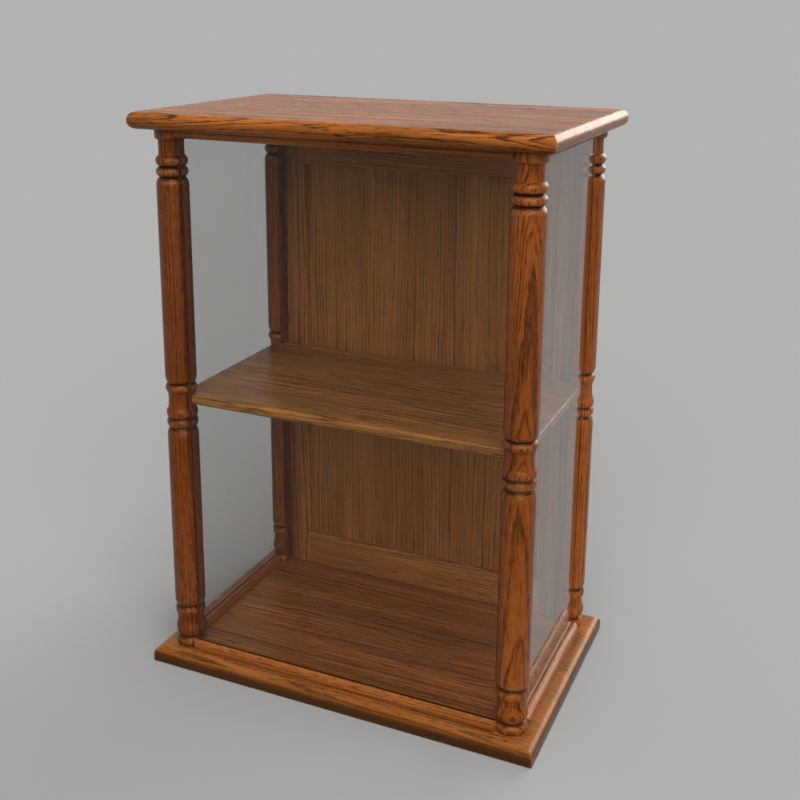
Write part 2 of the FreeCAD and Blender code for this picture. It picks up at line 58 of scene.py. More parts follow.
# Turned outline of a post, from the foot up. Each point is a radius and a height above the base board
# in millimetres. A shoulder is the round between a groove and the shaft that it meets without a step.
POST_OUTLINE = (
    ("line", 17.2, 0.0),
    ("arc", 18.4, 6.0, 15.0, 12.0),
    ("line", 15.0, 13.0),
    ("arc", 18.8, 22.0, 17.5, 30.0),
    ("arc", 16.7, 36.0, 17.0, 42.0),
    ("arc", 18.7, 48.2, 16.2, 54.5),
    ("line", 16.2, 55.5),
    ("shoulder up", 19.0, 62.5),
    ("line", 19.0, 281.5),
    ("shoulder down", 15.6, 292.5),
    ("arc", 19.0, 298.7, 16.8, 304.5),
    ("arc", 19.0, 310.6, 16.9, 317.0),
    ("arc", 16.0, 326.5, 16.6, 337.0),
    ("arc", 19.0, 342.4, 16.0, 348.3),
    ("shoulder up", 19.0, 357.5),
    ("line", 19.0, 588.0),
    ("shoulder down", 14.8, 597.0),
    ("arc", 18.8, 602.9, 14.8, 609.0),
    ("arc", 18.8, 615.5, 15.3, 621.7),
    ("arc", 14.9, 631.0, 15.2, 640.0),
    ("line", 17.6, 640.4),
    ("shoulder up", 19.0, 644.0),
    ("line", 19.0, 650.0),
    ("shoulder down", 18.0, 652.0),
)

# Wear across a rail, from the pane to its foot: the share of its half width, and the wear from -1 to 1 put
# on a scale from 0 to 1. Low values paint shade in the pane's groove and at the foot; high values on the
# crest are wear and a painted highlight
RAIL_WEAR_AND_SHADING = ((0.0, 0.1), (0.155, 0.1), (0.19, 0.5), (0.26, 0.95), (0.45, 0.85), (0.70, 0.5), (0.88, 0.42),
             (0.97, 0.27))

# Wear of a board's underside, of the middle of its edge and of the rim of its top. Below 0 it is painted
# shade:
# the undersides and the faces of the edges are darkened as if in shadow. Above 0 it is wear, and on the crest
# and at the corners also a painted highlight
TOP_EDGE_WEAR_AND_SHADING = (-0.40, -0.16, 0.0)
BASE_EDGE_WEAR_AND_SHADING = (-0.85, -0.74, 0.55)
CREST_WEAR_AND_HIGHLIGHT = 0.9
RIM_WEAR_REACH = 0.024
ARRIS_WEAR_REACH = 0.002
CORNER_WEAR_AND_HIGHLIGHT = 0.35
CORNER_WEAR_AND_HIGHLIGHT_REACH = 0.0035

# Oak of each post: where the tree's heart lies from the post's axis at mid height, how the post leans against
# it, and a tone that multiplies its stain's colour and also paints in the light and shade the post stands in:
# painted shade darkens the front-left and rear-left posts, painted light lightens the rear-right one
POST_OAK = {
    "front_left": ((0.073, 0.052), (0.014, 0.020), (0.49, 0.37, 0.33)),
    "front_right": ((-0.0205, 0.067), (-0.046, -0.014), (0.84, 0.70, 0.62)),
    "rear_left": ((0.070, 0.060), (-0.014, 0.024), (0.56, 0.48, 0.44)),
    "rear_right": ((-0.085, -0.030), (0.026, 0.016), (1.12, 0.99, 0.86)),
}
POST_RING = 0.0027
POST_BOLD = 1.05

# Oak of the other pieces, as the function oak takes it. Their tones also hold painted light: the top board is
# lightened and greyed as painted light from above and painted sheen, the base board greyed a little as
# painted sheen, and the shelf, the door and its panel lightened and greyed as painted haze of the panes'
# reflections
RAIL_STAIN = (0.97, 1.00, 1.10)
DOOR_STAIN_AND_HAZE = (1.12, 1.50, 1.70)
PIECE_OAK = {
    "top_board": dict(grain="X", heart=(0.05, 0.27, 0.20), lean=(0.0, 0.026, -0.020), ring=0.0022,
                      stain_and_lighting=(1.42, 1.52, 1.66), figure=1.4, coarse=1.1, bold=1.2, streaks=1.5),
    "base_board": dict(grain="X", heart=(0.0, 0.56, -1.20), lean=(0.0, -0.014, 0.012), ring=0.0026,
                       stain_and_lighting=(0.99, 1.10, 1.20), figure=0.8, coarse=1.0, bold=1.15, rings=0.85),
    "front_rails": dict(grain="X", heart=(0.0, -0.65, -0.35), lean=(0.0, 0.008, 0.006), ring=0.0022,
                        stain_and_lighting=RAIL_STAIN, figure=0.5),
    "side_rails": dict(grain="Y", heart=(0.75, 0.0, -0.35), lean=(0.008, 0.0, 0.006), ring=0.0022,
                       stain_and_lighting=RAIL_STAIN, figure=0.5),
    "shelf": dict(grain="X", heart=(0.0, 0.56, -0.85), lean=(0.0, 0.012, 0.012), ring=0.0030,
                  stain_and_lighting=(1.10, 1.58, 1.95), figure=0.8, coarse=1.7, bold=1.1),
    "door_panel": dict(grain="Z", heart=(0.36, 0.40, 0.30), lean=(0.012, 0.012, 0.0), ring=0.0042,
                       stain_and_lighting=(1.03, 1.50, 1.78), figure=0.7, coarse=1.4, bold=0.75),
    "door_hinge_stile": dict(grain="Z", heart=(-0.10, 0.05, 0.30), lean=(0.010, 0.008, 0.0), stain_and_lighting=DOOR_STAIN_AND_HAZE),
    "door_latch_stile": dict(grain="Z", heart=(0.28, 0.06, 0.30), lean=(-0.008, 0.010, 0.0), stain_and_lighting=DOOR_STAIN_AND_HAZE),
    "door_rails": dict(grain="X", heart=(0.0, 0.06, 0.20), lean=(0.0, 0.012, 0.010), stain_and_lighting=DOOR_STAIN_AND_HAZE),
    "rear_header": dict(grain="X", heart=(0.0, 0.06, 0.52), lean=(0.0, 0.010, 0.012), stain_and_lighting=DOOR_STAIN_AND_HAZE),
}

# How oak is marked. A stretch is what is left of a pattern's fineness along the grain. A scale is about how
# many of a pattern's features lie in a metre across the grain, or in one growth ring for the seasons. A pair
# of limits holds the levels between which a marking comes in.
RING_STRETCH = 0.14
SWAY_SCALE = 13.0
SWAY_METRES = 0.024
SWERVE_SCALE = 55.0
SWERVE_METRES = 0.0045
SEASON_SCALE = 0.45
SEASON_RINGS = 1.6
RAGGED_STRETCH = 0.025
RAGGED_SCALE = 420.0
RAGGED_RINGS = 0.55
EARLY_WOOD = ((0.0, 0.40), (0.05, 0.95), (0.20, 0.70), (0.38, 0.12), (0.90, 0.0), (1.0, 0.40))
FAINT_STRETCH = 0.2
FAINT_SCALE = 26.0
FAINT_RINGS = 0.45
FAINT_LIMITS = (0.32, 0.58)
PORE_STRETCH = 0.075
PORE_SCALE = 800.0
PORE_LEVELS = (0.58, 0.44)
PORE_EDGE = 0.09
PORE_DEPTH = 0.78
PORE_ROUGHNESS = 0.20
FIBRE_STRETCH = 0.014
FIBRE_SCALE = 760.0
FIBRE_DEPTH = 0.36
FIBRE_LIMITS = (0.25, 0.75)
STREAK_STRETCH = 0.05
STREAK_SCALE = 40.0
STREAK_DEPTH = 0.30
STREAK_LIMITS = (0.30, 0.70)
STREAK_ROUGHNESS = (-0.05, 0.06)
# Patches that break up the worn colour, and the levels at which the worn colour comes in as wear and painted
# highlight and the pore colour as gathered stain and painted shade
RUBBED_AND_HIGHLIT_STRETCH = 0.35
RUBBED_AND_HIGHLIT_SCALE = 300.0
RUBBED_AND_HIGHLIT_LIMITS = (0.40, 0.62)
WORN_AND_HIGHLIT_LIMITS = (0.15, 1.0)
POOLED_AND_SHADED_LIMITS = (-0.05, -0.8)
MOST_WORN_AND_HIGHLIT = 0.70
MOST_POOLED_AND_SHADED = 0.90
FIBRE_RELIEF = 0.2
PORE_RELIEF = 0.7
RING_RELIEF = 0.2
RELIEF_DEPTH = 0.0002
RELIEF_STRENGTH = 0.4
VARNISH_SPECULAR = 0.42
VARNISH_TINT = (1.0, 0.62, 0.28, 1.0)

# Marks on the glass and the brass
SMEAR_SCALE = 14.0
SMEAR_LIMITS = (0.60, 0.85)
SMEAR_ROUGHNESS = 0.006
TARNISH_SCALE = 220.0
TARNISH_LIMITS = (0.42, 0.66)
MOST_TARNISHED = 0.8
TARNISH_ROUGHNESS = 0.22
SCRATCH_STRETCH = 0.06
SCRATCH_SCALE = 3200.0
SCRATCH_LIMITS = (0.3, 0.7)
SCRATCH_ROUGHNESS = 0.04
SCRATCH_DEPTH = 0.0001
SCRATCH_STRENGTH = 0.1

# Boxes that cut the grooves and flats out of the posts, the length as a multiple of the post's
CUT_DEPTH = 0.02
CUT_LENGTH = 1.1
FLAT_WIDTH = 0.05

# Floor and camera
FLOOR_RADIUS = 60.0
FLOOR_SEGMENTS = 96
SENSOR_WIDTH = 36.0
FARTHEST_SEEN = 200.0

# Angles that the lamps' discs span
BROAD_LAMP = math.radians(60)
SOFT_LAMP = math.radians(34)


class OakFinish(bpy.types.PropertyGroup):
    """Stain and varnish of the oak."""
    pale: bpy.props.FloatVectorProperty(
        name="Late wood", description="Colour of the dense, pale part of a growth ring",
        subtype="COLOR", size=3, min=0, max=1, default=(0.310, 0.086, 0.0145))
    deep: bpy.props.FloatVectorProperty(
        name="Early wood", description="Colour of the porous, darker part of a growth ring",
        subtype="COLOR", size=3, min=0, max=1, default=(0.110, 0.0255, 0.0042))
    # The pore colour is also painted shade, put in the grooves, under the boards' edges and at the rails'
    # feet
    pore_and_shade: bpy.props.FloatVectorProperty(
        name="Pores", description="Colour of the stain that has settled in the pores and grooves",
        subtype="COLOR", size=3, min=0, max=1, default=(0.026, 0.0068, 0.0018))
    # The worn colour is also a painted highlight, put on the crests of beads, boards and rails and at corners
    worn_and_highlit: bpy.props.FloatVectorProperty(
        name="Worn edges", description="Colour where handling has thinned the stain",
        subtype="COLOR", size=3, min=0, max=1, default=(0.42, 0.180, 0.066))
    roughness: bpy.props.FloatProperty(
        name="Roughness", description="Roughness of the satin varnish",
        subtype="FACTOR", min=0, max=1, default=0.24)


class PostSizes(bpy.types.PropertyGroup):
    """Sizes of the turned posts."""
    segments: bpy.props.IntProperty(
        name="Segments", description="Facets round a post", min=24, max=160, default=80)
    arc_steps: bpy.props.IntProperty(
        name="Arc steps", description="Rings along each bead, cove or shoulder", min=3, max=24, default=10)
    groove: bpy.props.FloatProperty(
        name="Glass groove", description="Width of the groove that holds a pane",
        subtype="DISTANCE", unit="LENGTH", min=0.001, max=0.01, default=0.0034)
    groove_floor: bpy.props.FloatProperty(
        name="Groove floor", description="Distance of the groove's floor from the post's axis",
        subtype="DISTANCE", unit="LENGTH", min=0, max=0.019, default=0.011)
    outset: bpy.props.FloatProperty(
        name="Glass outset", description="Distance of the panes outside the posts' axes",
        subtype="DISTANCE", unit="LENGTH", min=0, max=0.019, default=0.0075)
    flat: bpy.props.FloatProperty(
        name="Door flat", description="Distance of a rear post's flat from its axis",
        subtype="DISTANCE", unit="LENGTH", min=0, max=0.019, default=0.009)


class BoardSizes(bpy.types.PropertyGroup):
    """Edges of the top and base boards."""
    top_nose: bpy.props.FloatProperty(
        name="Top nosing", description="Radius of the top board's bullnose",
        subtype="DISTANCE", unit="LENGTH", min=0, max=0.01, default=0.009)
    base_round: bpy.props.FloatProperty(
        name="Base round", description="Radius of the base board's upper edge",
        subtype="DISTANCE", unit="LENGTH", min=0, max=0.01, default=0.010)
    base_ease: bpy.props.FloatProperty(
        name="Base ease", description="Radius of the base board's lower edge",
        subtype="DISTANCE", unit="LENGTH", min=0, max=0.01, default=0.002)
    edge_steps: bpy.props.IntProperty(
        name="Edge steps", description="Facets across a rounded edge", min=2, max=24, default=10)


class DoorSizes(bpy.types.PropertyGroup):
    """Edges of the door's members and of the header above it."""
    arris: bpy.props.FloatProperty(
        name="Arris", description="Round left by sanding on the square edges",
        subtype="DISTANCE", unit="LENGTH", min=0, max=0.003, default=0.0009)
    moulding: bpy.props.FloatProperty(
        name="Moulding", description="Width of the moulding round the panel",
        subtype="DISTANCE", unit="LENGTH", min=0.002, max=0.008, default=0.004)
    quirk: bpy.props.FloatProperty(
        name="Quirk", description="Step between the frame's face and the round of its moulding",
        subtype="DISTANCE", unit="LENGTH", min=0, max=0.002, default=0.0009)
    groove: bpy.props.FloatProperty(
        name="Groove", description="Depth of the frame's groove for the panel",
        subtype="DISTANCE", unit="LENGTH", min=0, max=0.012, default=0.008)
    play: bpy.props.FloatProperty(
        name="Play", description="Room between the panel and its groove, on each face",
        subtype="DISTANCE", unit="LENGTH", min=0, max=0.001, default=0.0002)


class GlassFinish(bpy.types.PropertyGroup):
    """Look of the panes."""
    tint: bpy.props.FloatVectorProperty(
        name="Tint", description="Colour of light that has passed through a pane",
        subtype="COLOR", size=3, min=0, max=1, default=(0.82, 0.832, 0.828))
    lamp_tint: bpy.props.FloatVectorProperty(
        name="Lamp tint", description="Colour of lamp light that has passed through a pane",
        subtype="COLOR", size=3, min=0, max=1, default=(0.96, 0.965, 0.96))
    ior: bpy.props.FloatProperty(
        name="Front index", min=1, max=2, default=1.25,
        description="Index of refraction of the front pane, low so that it mirrors little")
    side_ior: bpy.props.FloatProperty(
        name="Side index", description="Index of refraction of the side panes", min=1, max=2, default=1.52)
    arris: bpy.props.FloatProperty(
        name="Arris", description="Ground edge of a pane",
        subtype="DISTANCE", unit="LENGTH", min=0, max=0.0014, default=0.0004)


class BrassFinish(bpy.types.PropertyGroup):
    """Look of the hinges, screws, knob and turn button."""
    bright: bpy.props.FloatVectorProperty(
        name="Bright", description="Colour where the brass is rubbed",
        subtype="COLOR", size=3, min=0, max=1, default=(0.62, 0.42, 0.155))
    dull: bpy.props.FloatVectorProperty(
        name="Dull", description="Colour where the brass has tarnished",
        subtype="COLOR", size=3, min=0, max=1, default=(0.27, 0.165, 0.06))
    roughness: bpy.props.FloatProperty(
        name="Roughness", description="Roughness of the rubbed brass",
        subtype="FACTOR", min=0, max=1, default=0.3)


class ScrewSizes(bpy.types.PropertyGroup):
    """Sizes of the screws."""
    shank: bpy.props.FloatProperty(
        name="Shank radius", description="Radius of a hinge screw's shank",
        subtype="DISTANCE", unit="LENGTH", min=0.0005, max=0.003, default=0.0014)
    head: bpy.props.FloatProperty(
        name="Head radius", description="Radius of a hinge screw's countersunk head",
        subtype="DISTANCE", unit="LENGTH", min=0.001, max=0.006, default=0.0027)
    pitch: bpy.props.FloatProperty(
        name="Pitch", description="Distance between the screws of one hinge leaf",
        subtype="DISTANCE", unit="LENGTH", min=0.005, max=0.03, default=0.016)
    slot: bpy.props.FloatProperty(
        name="Slot", description="Width of a driving slot",
        subtype="DISTANCE", unit="LENGTH", min=0.0002, max=0.002, default=0.0007)
    slot_depth: bpy.props.FloatProperty(
        name="Slot depth", description="Depth of a driving slot",
        subtype="DISTANCE", unit="LENGTH", min=0.0001, max=0.002, default=0.0005)
    segments: bpy.props.IntProperty(
        name="Segments", description="Facets round a screw", min=12, max=64, default=32)
    seed: bpy.props.IntProperty(
        name="Seed", description="Seed for how far each screw was driven round", min=0, default=7)


class StageSettings(bpy.types.PropertyGroup):
    """Floor, light and camera."""
    floor: bpy.props.FloatVectorProperty(
        name="Floor", description="Colour of the floor as it is seen",
        subtype="COLOR", size=3, min=0, max=1, default=(0.395, 0.395, 0.395))
    bounce: bpy.props.FloatVectorProperty(
        name="Floor bounce", description="Colour of the light that the floor throws back up",
        subtype="COLOR", size=3, min=0, max=1, default=(0.22, 0.22, 0.22))
    sky: bpy.props.FloatVectorProperty(
        name="Sky", description="Even light from all round",
        subtype="COLOR", size=3, min=0, max=2, default=(0.26, 0.265, 0.27))
    front: bpy.props.FloatVectorProperty(
        name="Front light", description="Colour and strength of the broad light from the front",
        subtype="COLOR", size=3, min=0, max=10, default=(2.0, 1.98, 1.95))
    front_from: bpy.props.FloatVectorProperty(
        name="Front light's place", description="Where the broad light comes from", subtype="DIRECTION",
        size=3, default=(0.40, -0.78, 0.60))
    overhead: bpy.props.FloatVectorProperty(
        name="Overhead light", description="Colour and strength of the light from overhead",
        subtype="COLOR", size=3, min=0, max=10, default=(1.1, 1.08, 1.06))
    overhead_from: bpy.props.FloatVectorProperty(
        name="Overhead light's place", description="Where the light from overhead comes from",
        subtype="DIRECTION", size=3, default=(0.15, -0.15, 0.98))
    rim: bpy.props.FloatVectorProperty(
        name="Rim light", description="Colour and strength of the light from behind on the right",
        subtype="COLOR", size=3, min=0, max=10, default=(0.95, 0.93, 0.90))
    rim_from: bpy.props.FloatVectorProperty(
        name="Rim light's place", description="Where the light from behind comes from", subtype="DIRECTION",
        size=3, default=(0.50, 0.78, 0.38))
    rear: bpy.props.FloatVectorProperty(
        name="Rear light", description="Colour and strength of the low light from the rear",
        subtype="COLOR", size=3, min=0, max=10, default=(0.90, 0.89, 0.87))
    rear_from: bpy.props.FloatVectorProperty(
        name="Rear light's place", description="Where the low light comes from", subtype="DIRECTION",
        size=3, default=(0.20, 0.96, 0.20))
    camera: bpy.props.FloatVectorProperty(
        name="Camera", description="Where the camera stands",
        subtype="TRANSLATION", unit="LENGTH", size=3, default=(0.5329, -1.1592, 0.8097))
    turn: bpy.props.FloatVectorProperty(
        name="Camera turn", description="Camera's turn to the left, tilt down and roll",
        subtype="EULER", unit="ROTATION", size=3,
        default=(math.radians(23.56), math.radians(13.826), math.radians(-0.478)))
    lens: bpy.props.FloatProperty(
        name="Lens", description="Focal length on a 36 mm wide sensor", subtype="DISTANCE_CAMERA",
        min=10, max=200, default=49.393)
    shift: bpy.props.FloatVectorProperty(
        name="Shift", description="How far the picture's centre lies off the lens's axis",
        size=2, default=(-0.00705, -0.15575))


class CaseSettings(bpy.types.PropertyGroup):
    """All sizes and colours of the case."""
    oak: bpy.props.PointerProperty(type=OakFinish)
    posts: bpy.props.PointerProperty(type=PostSizes)
    boards: bpy.props.PointerProperty(type=BoardSizes)
    door: bpy.props.PointerProperty(type=DoorSizes)
    glass: bpy.props.PointerProperty(type=GlassFinish)
    brass: bpy.props.PointerProperty(type=BrassFinish)
    screws: bpy.props.PointerProperty(type=ScrewSizes)
    stage: bpy.props.PointerProperty(type=StageSettings)


# Helpers for node trees

class Wiring:
    """Adds nodes to a tree and links them, in one call each."""

    def __init__(self, tree):
        self.tree = tree

    def add(self, kind, inputs=None, **settings):
        node = self.tree.nodes.new(kind)
        for name, value in settings.items():
            setattr(node, name, value)
        for key, value in (inputs or {}).items():
            socket = node.inputs[key]
            if isinstance(value, bpy.types.NodeSocket):
                self.tree.links.new(value, socket)
            else:
                socket.default_value = value
        return node

    def math(self, operation, first, second=0.0):
        return self.add("ShaderNodeMath", {0: first, 1: second}, operation=operation).outputs[0]

    def vector(self, operation, first, second=(0.0, 0.0, 0.0)):
        node = self.add("ShaderNodeVectorMath", {0: first, 1: second}, operation=operation)
        return node.outputs["Value" if operation == "LENGTH" else "Vector"]

    def scaled(self, vector, scale):
        return self.vector("MULTIPLY", vector, scale)

    def noise(self, vector, scale, detail=2.0, roughness=0.5):
        return self.add("ShaderNodeTexNoise", {
            "Vector": vector, "Scale": scale, "Detail": detail, "Roughness": roughness})

    def ramp(self, factor, stops):
        node = self.add("ShaderNodeValToRGB", {"Fac": factor})
        elements = node.color_ramp.elements
        while len(elements) < len(stops):
            elements.new(0.5)
        for element, (place, value) in zip(elements, stops):
            element.position = place
            element.color = (value, value, value, 1)
        return node.outputs["Color"]

    def mix(self, factor, first, second, blend="MIX"):
        node = self.add("ShaderNodeMix", {0: factor, 6: first, 7: second}, data_type="RGBA", blend_type=blend)
        return node.outputs[2]

    def span(self, value, old, new):
        """Value put from the old range, a low and a high end, on to the new one."""
        node = self.add("ShaderNodeMapRange", {0: value, 1: old[0], 2: old[1], 3: new[0], 4: new[1]})
        return node.outputs[0]


def rgba(colour):
    return (colour[0], colour[1], colour[2], 1.0)


def new_material(name):
    material = bpy.data.materials.new(name)
    material.use_nodes = True
    material.node_tree.nodes.clear()
    wiring = Wiring(material.node_tree)
    output = wiring.add("ShaderNodeOutputMaterial")
    return material, wiring, output


def along_grain(axis, along):
    """Scale that draws a pattern out along the grain."""
    scale = [1.0, 1.0, 1.0]
    scale["XYZ".index(axis)] = along
    return tuple(scale)


# Materials

def oak(name, grain, heart, lean, stain_and_lighting, ring=0.0034, figure=1.0, coarse=1.0, bold=1.0, rings=1.0, streaks=1.0,
        wear_and_shading_at=None):
    """Stained oak as a solid texture: growth rings round a heart line, pores, fibres and worn edges.

    heart is a point on the tree's centre line, lean turns the piece against that line, a tone multiplies the
    stain's colour and also paints in the light, shade and haze that fall on the piece, ring is the width of a
    growth ring, figure is how far the rings wander, coarse is how broad the pores look, bold is how strongly
    all the markings show, rings how strongly the rings do and streaks how close and strong the long streaks
    are. Wear comes from a mesh attribute, or from a function given for it, which wires it up from a place;
    above 0 it puts on the worn colour as wear and painted highlight, below 0 the pore colour as gathered
    stain and painted shade.
    """
    finish = bpy.context.scene.display_case.oak
    material, w, output = new_material(name)
    place = w.add("ShaderNodeTexCoord").outputs["Object"]
    centred = w.vector("SUBTRACT", place, heart)
    trunk = w.add("ShaderNodeMapping", {"Vector": centred, "Rotation": lean}).outputs[0]

    def noise(stretch, scale, detail, roughness=0.5):
        """Noise in the trunk, drawn out along the grain."""
        return w.noise(w.scaled(trunk, along_grain(grain, stretch)), scale, detail, roughness).outputs

    # Growth rings that wander slowly along the trunk and have ragged edges
    middle = (0.5, 0.5, 0.5)
    sway = w.vector("SUBTRACT", noise(RING_STRETCH, SWAY_SCALE, 1.0)["Color"], middle)
    swerve = w.vector("SUBTRACT", noise(RING_STRETCH, SWERVE_SCALE, 2.0)["Color"], middle)
    wander = w.vector("ADD", w.scaled(sway, (SWAY_METRES * figure,) * 3),
                      w.scaled(swerve, (SWERVE_METRES * figure,) * 3))
    cross = w.scaled(w.vector("ADD", trunk, wander), along_grain(grain, 0.0))
    years = w.math("DIVIDE", w.vector("LENGTH", cross), ring)
    seasons = w.add("ShaderNodeTexNoise", {"W": years, "Scale": SEASON_SCALE, "Detail": 1.0},
                    noise_dimensions="1D")
    ragged = noise(RAGGED_STRETCH, RAGGED_SCALE, 2.0, 0.6)[0]
    years = w.math("ADD", years, w.math("MULTIPLY", seasons.outputs[0], SEASON_RINGS))
    years = w.math("ADD", years, w.math("MULTIPLY", ragged, RAGGED_RINGS))
    early = w.ramp(w.math("FRACT", years), EARLY_WOOD)
    marking = noise(FAINT_STRETCH, FAINT_SCALE, 1.0)[0]
    shown = w.span(marking, FAINT_LIMITS, (FAINT_RINGS * bold * rings, bold * rings))
    early = w.math("MULTIPLY", early, shown)

    # Pores: short dark dashes, thickest in the early wood
    dashes = noise(PORE_STRETCH, PORE_SCALE / coarse, 2.0, 0.7)[0]
    least = w.span(early, (0.0, 1.0), PORE_LEVELS)
    pores = w.span(dashes, (least, w.math("ADD", least, PORE_EDGE)), (0.0, 1.0))
    fibres = noise(FIBRE_STRETCH, FIBRE_SCALE / coarse, 3.0, 0.7)[0]
    streak = noise(STREAK_STRETCH, STREAK_SCALE * streaks, 3.0, 0.6)[0]

    colour = w.mix(early, rgba(finish.pale), rgba(finish.deep))
    colour = w.mix(w.math("MULTIPLY", pores, PORE_DEPTH * bold), colour, rgba(finish.pore_and_shade))
    streak_depth = STREAK_DEPTH * bold * streaks
    fibre_depth = FIBRE_DEPTH * bold
    light = w.span(streak, STREAK_LIMITS, (1.0 - streak_depth, 1.0 + streak_depth))
    light = w.math("MULTIPLY", light, w.span(fibres, FIBRE_LIMITS, (1.0 - fibre_depth, 1.0 + fibre_depth)))
    shade = w.add("ShaderNodeCombineColor", {0: light, 1: light, 2: light}).outputs[0]
    colour = w.mix(1.0, w.mix(1.0, colour, shade, "MULTIPLY"), rgba(stain_and_lighting), "MULTIPLY")

    # What stands proud gets the worn colour as wear and painted highlight, and what lies deep or underneath
    # gets the pore colour as gathered stain and painted shade
    if wear_and_shading_at:
        wear_and_shading = wear_and_shading_at(w, place)
    else:
        wear_and_shading = w.add("ShaderNodeAttribute", attribute_name="wear_and_shading").outputs["Fac"]
    rubbed_and_highlit = w.noise(w.scaled(place, along_grain(grain, RUBBED_AND_HIGHLIT_STRETCH)), RUBBED_AND_HIGHLIT_SCALE, 3.0, 0.65).outputs[0]
    proud = w.math("MULTIPLY", w.span(wear_and_shading, WORN_AND_HIGHLIT_LIMITS, (0.0, MOST_WORN_AND_HIGHLIT)),
                   w.span(rubbed_and_highlit, RUBBED_AND_HIGHLIT_LIMITS, (0.0, 1.0)))
    colour = w.mix(proud, colour, rgba(finish.worn_and_highlit))
    colour = w.mix(w.span(wear_and_shading, POOLED_AND_SHADED_LIMITS, (0.0, MOST_POOLED_AND_SHADED)), colour, rgba(finish.pore_and_shade))

    rough = w.math("ADD", w.math("MULTIPLY", pores, PORE_ROUGHNESS),
                   w.span(streak, STREAK_LIMITS, STREAK_ROUGHNESS))
    rough = w.math("ADD", rough, finish.roughness)
    height = w.math("MULTIPLY", fibres, FIBRE_RELIEF)
    height = w.math("SUBTRACT", height, w.math("MULTIPLY", pores, PORE_RELIEF))
    height = w.math("SUBTRACT", height, w.math("MULTIPLY", early, RING_RELIEF))
    bump = w.add("ShaderNodeBump", {"Strength": RELIEF_STRENGTH, "Distance": RELIEF_DEPTH, "Height": height})
    surface = w.add("ShaderNodeBsdfPrincipled", {
        "Base Color": colour, "Roughness": rough, "Normal": bump.outputs[0],
        "Specular IOR Level": VARNISH_SPECULAR, "Specular Tint": VARNISH_TINT})
    w.tree.links.new(surface.outputs[0], output.inputs["Surface"])
    return material


def clear_glass(name, ior):
    """Clear float glass with a faint smear of dust, which lets lamp light through."""
    finish = bpy.context.scene.display_case.glass
    material, w, output = new_material(name)
    place = w.add("ShaderNodeTexCoord").outputs["Object"]
    smear = w.noise(place, SMEAR_SCALE, 4.0, 0.6).outputs[0]
    rough = w.span(smear, SMEAR_LIMITS, (0.0, SMEAR_ROUGHNESS))
    pane = w.add("ShaderNodeBsdfPrincipled", {
        "Base Color": rgba(finish.tint), "Roughness": rough, "IOR": ior, "Transmission Weight": 1.0})
    through = w.add("ShaderNodeBsdfTransparent", {"Color": rgba(finish.lamp_tint)})
    path = w.add("ShaderNodeLightPath").outputs
    lamp_light = w.math("MAXIMUM", path["Is Shadow Ray"], path["Is Diffuse Ray"])
    mixed = w.add("ShaderNodeMixShader", {0: lamp_light, 1: pane.outputs[0], 2: through.outputs[0]})
    w.tree.links.new(mixed.outputs[0], output.inputs["Surface"])
    return material


def old_brass():
    """Satin brass, bright where it is rubbed and brown where it has tarnished."""
    made = bpy.data.materials.get("old_brass")
    if made:
        return made
    finish = bpy.context.scene.display_case.brass
    material, w, output = new_material("old_brass")
    place = w.add("ShaderNodeTexCoord").outputs["Object"]
    patches = w.noise(place, TARNISH_SCALE, 4.0, 0.62).outputs[0]
    tarnish = w.span(patches, TARNISH_LIMITS, (0.0, MOST_TARNISHED))
    colour = w.mix(tarnish, rgba(finish.bright), rgba(finish.dull))
    drawn_out = w.scaled(place, along_grain("Z", SCRATCH_STRETCH))
    scratches = w.noise(drawn_out, SCRATCH_SCALE, 1.0).outputs[0]
    dullest = finish.roughness + TARNISH_ROUGHNESS
    rough = w.math("ADD", w.span(tarnish, (0.0, 1.0), (finish.roughness, dullest)),
                   w.span(scratches, SCRATCH_LIMITS, (-SCRATCH_ROUGHNESS, SCRATCH_ROUGHNESS)))
    bump = w.add("ShaderNodeBump", {
        "Strength": SCRATCH_STRENGTH, "Distance": SCRATCH_DEPTH, "Height": scratches})
    surface = w.add("ShaderNodeBsdfPrincipled", {
        "Base Color": colour, "Metallic": 1.0, "Roughness": rough, "Normal": bump.outputs[0]})
    w.tree.links.new(surface.outputs[0], output.inputs["Surface"])
    return material


# Helpers for meshes

def add_piece(name, mesh, material, body, slot, *nodes):
    """Puts a finished mesh into the scene in place of its CAD nodes."""
    mesh.name = name
    mesh.materials.clear()
    mesh.materials.append(material)
    mesh.shade_smooth()
    mesh.set_sharp_from_angle(angle=SHARP_ANGLE)
    piece = loose_object(name, mesh)
    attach(piece, body)
    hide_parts(*nodes)
    return piece


def finish_node(node, material):
    """Gives a CAD node that is kept its material."""
    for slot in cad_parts[node].material_slots:
        slot.material = material


def loose_object(name, content):
    made = bpy.data.objects.new(name, content)
    bpy.context.scene.collection.objects.link(made)
    return made


def mesh_from(form, name):
    """Plain mesh of a bmesh, with its faces turned outwards."""
    bmesh.ops.remove_doubles(form, verts=form.verts, dist=MERGE_DISTANCE)
    bmesh.ops.recalc_face_normals(form, faces=form.faces)
    mesh = bpy.data.meshes.new(name)
    form.to_mesh(mesh)
    form.free()
    return mesh


def evaluated_mesh(source):
    """Plain mesh of an object with its modifiers worked out. The object is then removed."""
    bpy.context.view_layer.update()
    seen = source.evaluated_get(bpy.context.evaluated_depsgraph_get())
    form = bmesh.new()
    form.from_mesh(bpy.data.meshes.new_from_object(seen))
    name = source.name
    source.modifiers.clear()
    bpy.data.objects.remove(source)
    return mesh_from(form, name)


